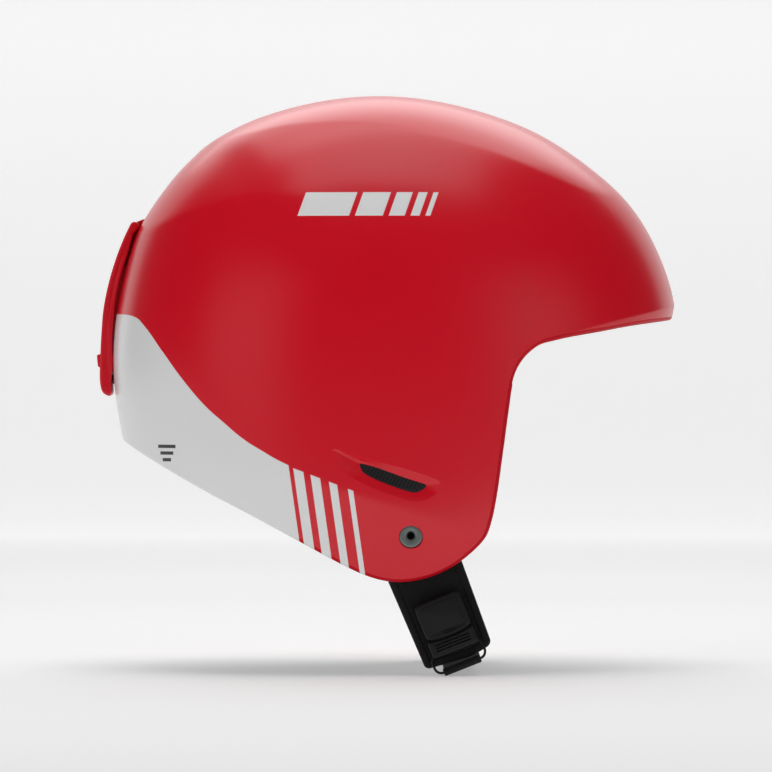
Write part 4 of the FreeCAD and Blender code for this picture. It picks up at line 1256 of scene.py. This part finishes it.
def rounded_outline(left, right, top, end, radius, bow_top=None, bow_end=None):
    """A rectangle on the strap with rounded corners, as side-view points. The bows are arcs round the pivot."""
    corners = [
        (left + radius, end - radius, math.pi, math.pi / 2), (right - radius, end - radius, math.pi / 2, 0),
        (right - radius, top + radius, 0, -math.pi / 2), (left + radius, top + radius, -math.pi / 2, -math.pi)]
    ring = []
    for x, down, start, stop in corners:
        for turn in np.linspace(start, stop, 8):
            ring.append((x + radius * math.cos(turn), down + radius * math.sin(turn)))
    closed = even(np.array(ring + ring[:1]), 161)[:-1]
    shaped = []
    for across, down in closed:
        share = (down - top) / (end - top)
        if bow_end is not None:
            down += (math.sqrt(bow_end ** 2 - across ** 2) - bow_end) * share
        if bow_top is not None:
            down += (math.sqrt(bow_top ** 2 - across ** 2) - bow_top) * (1 - share)
        shaped.append((across, down))
    return shaped


def in_side_view(outline):
    """Strap outline points as (forward, up)."""
    return np.array([on_strap(across, down, 0.0)[::2] for across, down in outline])


socket_ring = rounded_outline(-SOCKET_HALF, SOCKET_HALF, SOCKET_TOP, SOCKET_END, 2.4, bow_end=SOCKET_END)
socket_body = rounded_plate("socket_body", in_side_view(socket_ring), -BUCKLE_OUT + 0.3, -BUCKLE_IN, 1.0)
post_ring = rounded_outline(-8.2, 8.2, 37.4, 50.6, 2.0)
socket_post = rounded_plate("socket_post", in_side_view(post_ring), -BUCKLE_IN - 0.4, -STRAP_PLANE - 0.7, 0.3)
panel_ring = rounded_outline(-SOCKET_HALF + 2.2, SOCKET_HALF - 2.2, SOCKET_TOP + 2.2, SOCKET_END - 3.2, 1.6)
socket_panel = rounded_plate("socket_panel", in_side_view(panel_ring), -BUCKLE_OUT, -BUCKLE_OUT + 1.0, 0.3)
ridges = []
for k in range(3):
    level = SOCKET_END - 2.6 + 0.8 * k - 0.6
    ridge = rounded_outline(-SOCKET_HALF + 2.6, SOCKET_HALF - 2.6, level, level + 0.42, 0.2, bow_end=SOCKET_END)
    ridges.append(rounded_plate("ridge", in_side_view(ridge), -BUCKLE_OUT + 0.05, -BUCKLE_OUT + 0.8, 0.12, steps=2))
socket = joined("buckle_socket_moulding", [socket_body, socket_post, socket_panel] + ridges)

latch_ring = rounded_outline(
    -LATCH_HALF, LATCH_HALF, LATCH_TOP, LATCH_END, 1.5, bow_top=LATCH_TOP, bow_end=4 * LATCH_END)
latch_body = rounded_plate("latch_body", in_side_view(latch_ring), -BUCKLE_OUT + 0.7, -BUCKLE_IN, 1.0)
rail_ring = rounded_outline(-9.8, 9.8, 47.2, LATCH_TOP + 1.0, 0.8, bow_top=47.2, bow_end=55.5)
rail = rounded_plate("rail", in_side_view(rail_ring), -99.1, -96.9, 0.2)
grip = []
for k in range(3):
    level = LATCH_TOP + 2.0 + 1.5 * k
    rib = rounded_outline(-LATCH_HALF + 3.0, LATCH_HALF - 3.0, level, level + 0.7, 0.3, bow_end=LATCH_END)
    grip.append(rounded_plate("rib", in_side_view(rib), -BUCKLE_OUT + 0.4, -BUCKLE_OUT + 1.2, 0.2, steps=2))
latch = joined("buckle_latch_moulding", [latch_body, rail] + grip)
for piece, node, body in ((socket, "buckle_socket", "right_strap"), (latch, "buckle_latch", "chin_strap")):
    piece.data.materials.append(black_plastic)
    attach(piece, body)
    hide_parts(node)

# Nickel-plated neodymium for the magnets, and black-oxide steel wire for the bail.
refinish(plated_steel, "socket_magnet", "latch_magnet")
black_steel, tree, shader = finish_named(
    "black-oxide steel wire", Base_Color=linear("#35353a"), Metallic=1.0, Roughness=0.38)
textured(tree, shader, "TexNoise", 2200.0, 0.15, 0.00005, Detail=2.0)
refinish(black_steel, "wire_bail")


# -------- floor, light and camera
# A pale seamless sweep with its front apron, a large soft light behind and above, small ones
# overhead, a soft fill on either side of the camera, and a long lens.

# Matt white translucent acrylic, lit through from below: more so to the back, away from the lamps.
acrylic, tree, shader = finish_named("matt opal acrylic", Base_Color=linear("#d2d2d2"), Roughness=0.95)
shader.inputs["Emission Color"].default_value = linear("#ffffff")
depth = add(tree, "SeparateXYZ", {0: add(tree, "TexCoord").outputs["Object"]}).outputs[1]
glow = add(tree, "MapRange", {0: depth, 1: 1.1, 2: 2.9, 3: 0.31, 4: 0.6}).outputs[0]
tree.links.new(glow, shader.inputs["Emission Strength"])
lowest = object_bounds()[0].z / MM
SET_HALF_WIDTH, SET_TOP = 3600.0, 3800.0
APRON_FRONT, APRON_EDGE, FLOOR_BACK, CURVE_RADIUS = -940.0, -380.0, 2900.0, 500.0
sweep_profile = [(APRON_EDGE, lowest)]
for turn in np.linspace(0, math.pi / 2, 13):
    rise = CURVE_RADIUS * (1 - math.cos(turn))
    sweep_profile.append((FLOOR_BACK + CURVE_RADIUS * math.sin(turn), lowest + rise))
sweep_profile.append((FLOOR_BACK + CURVE_RADIUS, SET_TOP))
# The apron is kept out of reflections, so that the shell mirrors the dark room in front of the set.
apron_profile = [(APRON_FRONT, lowest), (APRON_EDGE, lowest)]
for name, profile in (("studio_sweep", sweep_profile), ("studio_apron", apron_profile)):
    corners = [(x, y, z) for y, z in profile for x in (-SET_HALF_WIDTH, SET_HALF_WIDTH)]
    quads = [(2 * k, 2 * k + 1, 2 * k + 3, 2 * k + 2) for k in range(len(profile) - 1)]
    backing = object_from(name, corners, quads)
    backing.data.materials.append(acrylic)
    backing.visible_glossy = profile is sweep_profile


def softbox(name, place, size, watts, seen=True):
    """A square area light at a place in metres, facing the helmet. seen False keeps it out of reflections."""
    lamp = bpy.data.lights.new(name, "AREA")
    lamp.shape, lamp.size, lamp.energy = "SQUARE", size, watts
    made = bpy.data.objects.new(name, lamp)
    made.location = place
    made.rotation_euler = (Vector() - Vector(place)).to_track_quat("-Z", "Y").to_euler()
    made.visible_glossy = seen
    bpy.context.scene.collection.objects.link(made)


softbox("back_light", (0.0, 1.0, 1.42), 1.8, 15.5)
softbox("top_light", (0.0, -0.1, 1.7), 1.2, 4.5)
softbox("floor_light", (0.0, -0.3, 1.75), 1.0, 10.0, seen=False)
softbox("left_fill", (-1.7, -1.7, 0.3), 1.4, 18.0, seen=False)
softbox("right_fill", (1.6, -1.7, 0.3), 1.4, 12.0, seen=False)

# The room round the set: dark above, and dimly lit below the set's edge.
sky = bpy.data.worlds.new("studio")
sky.use_nodes = True
tree = sky.node_tree
height = add(tree, "SeparateXYZ", {0: add(tree, "TexCoord").outputs["Generated"]}).outputs[2]
room = add(tree, "MapRange", {0: height, 1: -0.6, 2: -0.3, 3: 0.35, 4: 0.06}).outputs[0]
tree.links.new(room, tree.nodes["Background"].inputs["Strength"])
tree.nodes["Background"].inputs["Color"].default_value = linear("#ffffff")
bpy.context.scene.world = sky
bpy.context.scene.view_settings.view_transform = "Standard"

lens = bpy.data.cameras.new("camera")
lens.lens = 295.9
lens.sensor_width = 36.0
lens.clip_end = 20.0
camera = bpy.data.objects.new("camera", lens)
camera.location = (-0.0021, -3.3, -0.0239)
camera.rotation_euler = (math.radians(90), 0.0, 0.0)
bpy.context.scene.collection.objects.link(camera)
bpy.context.scene.camera = camera
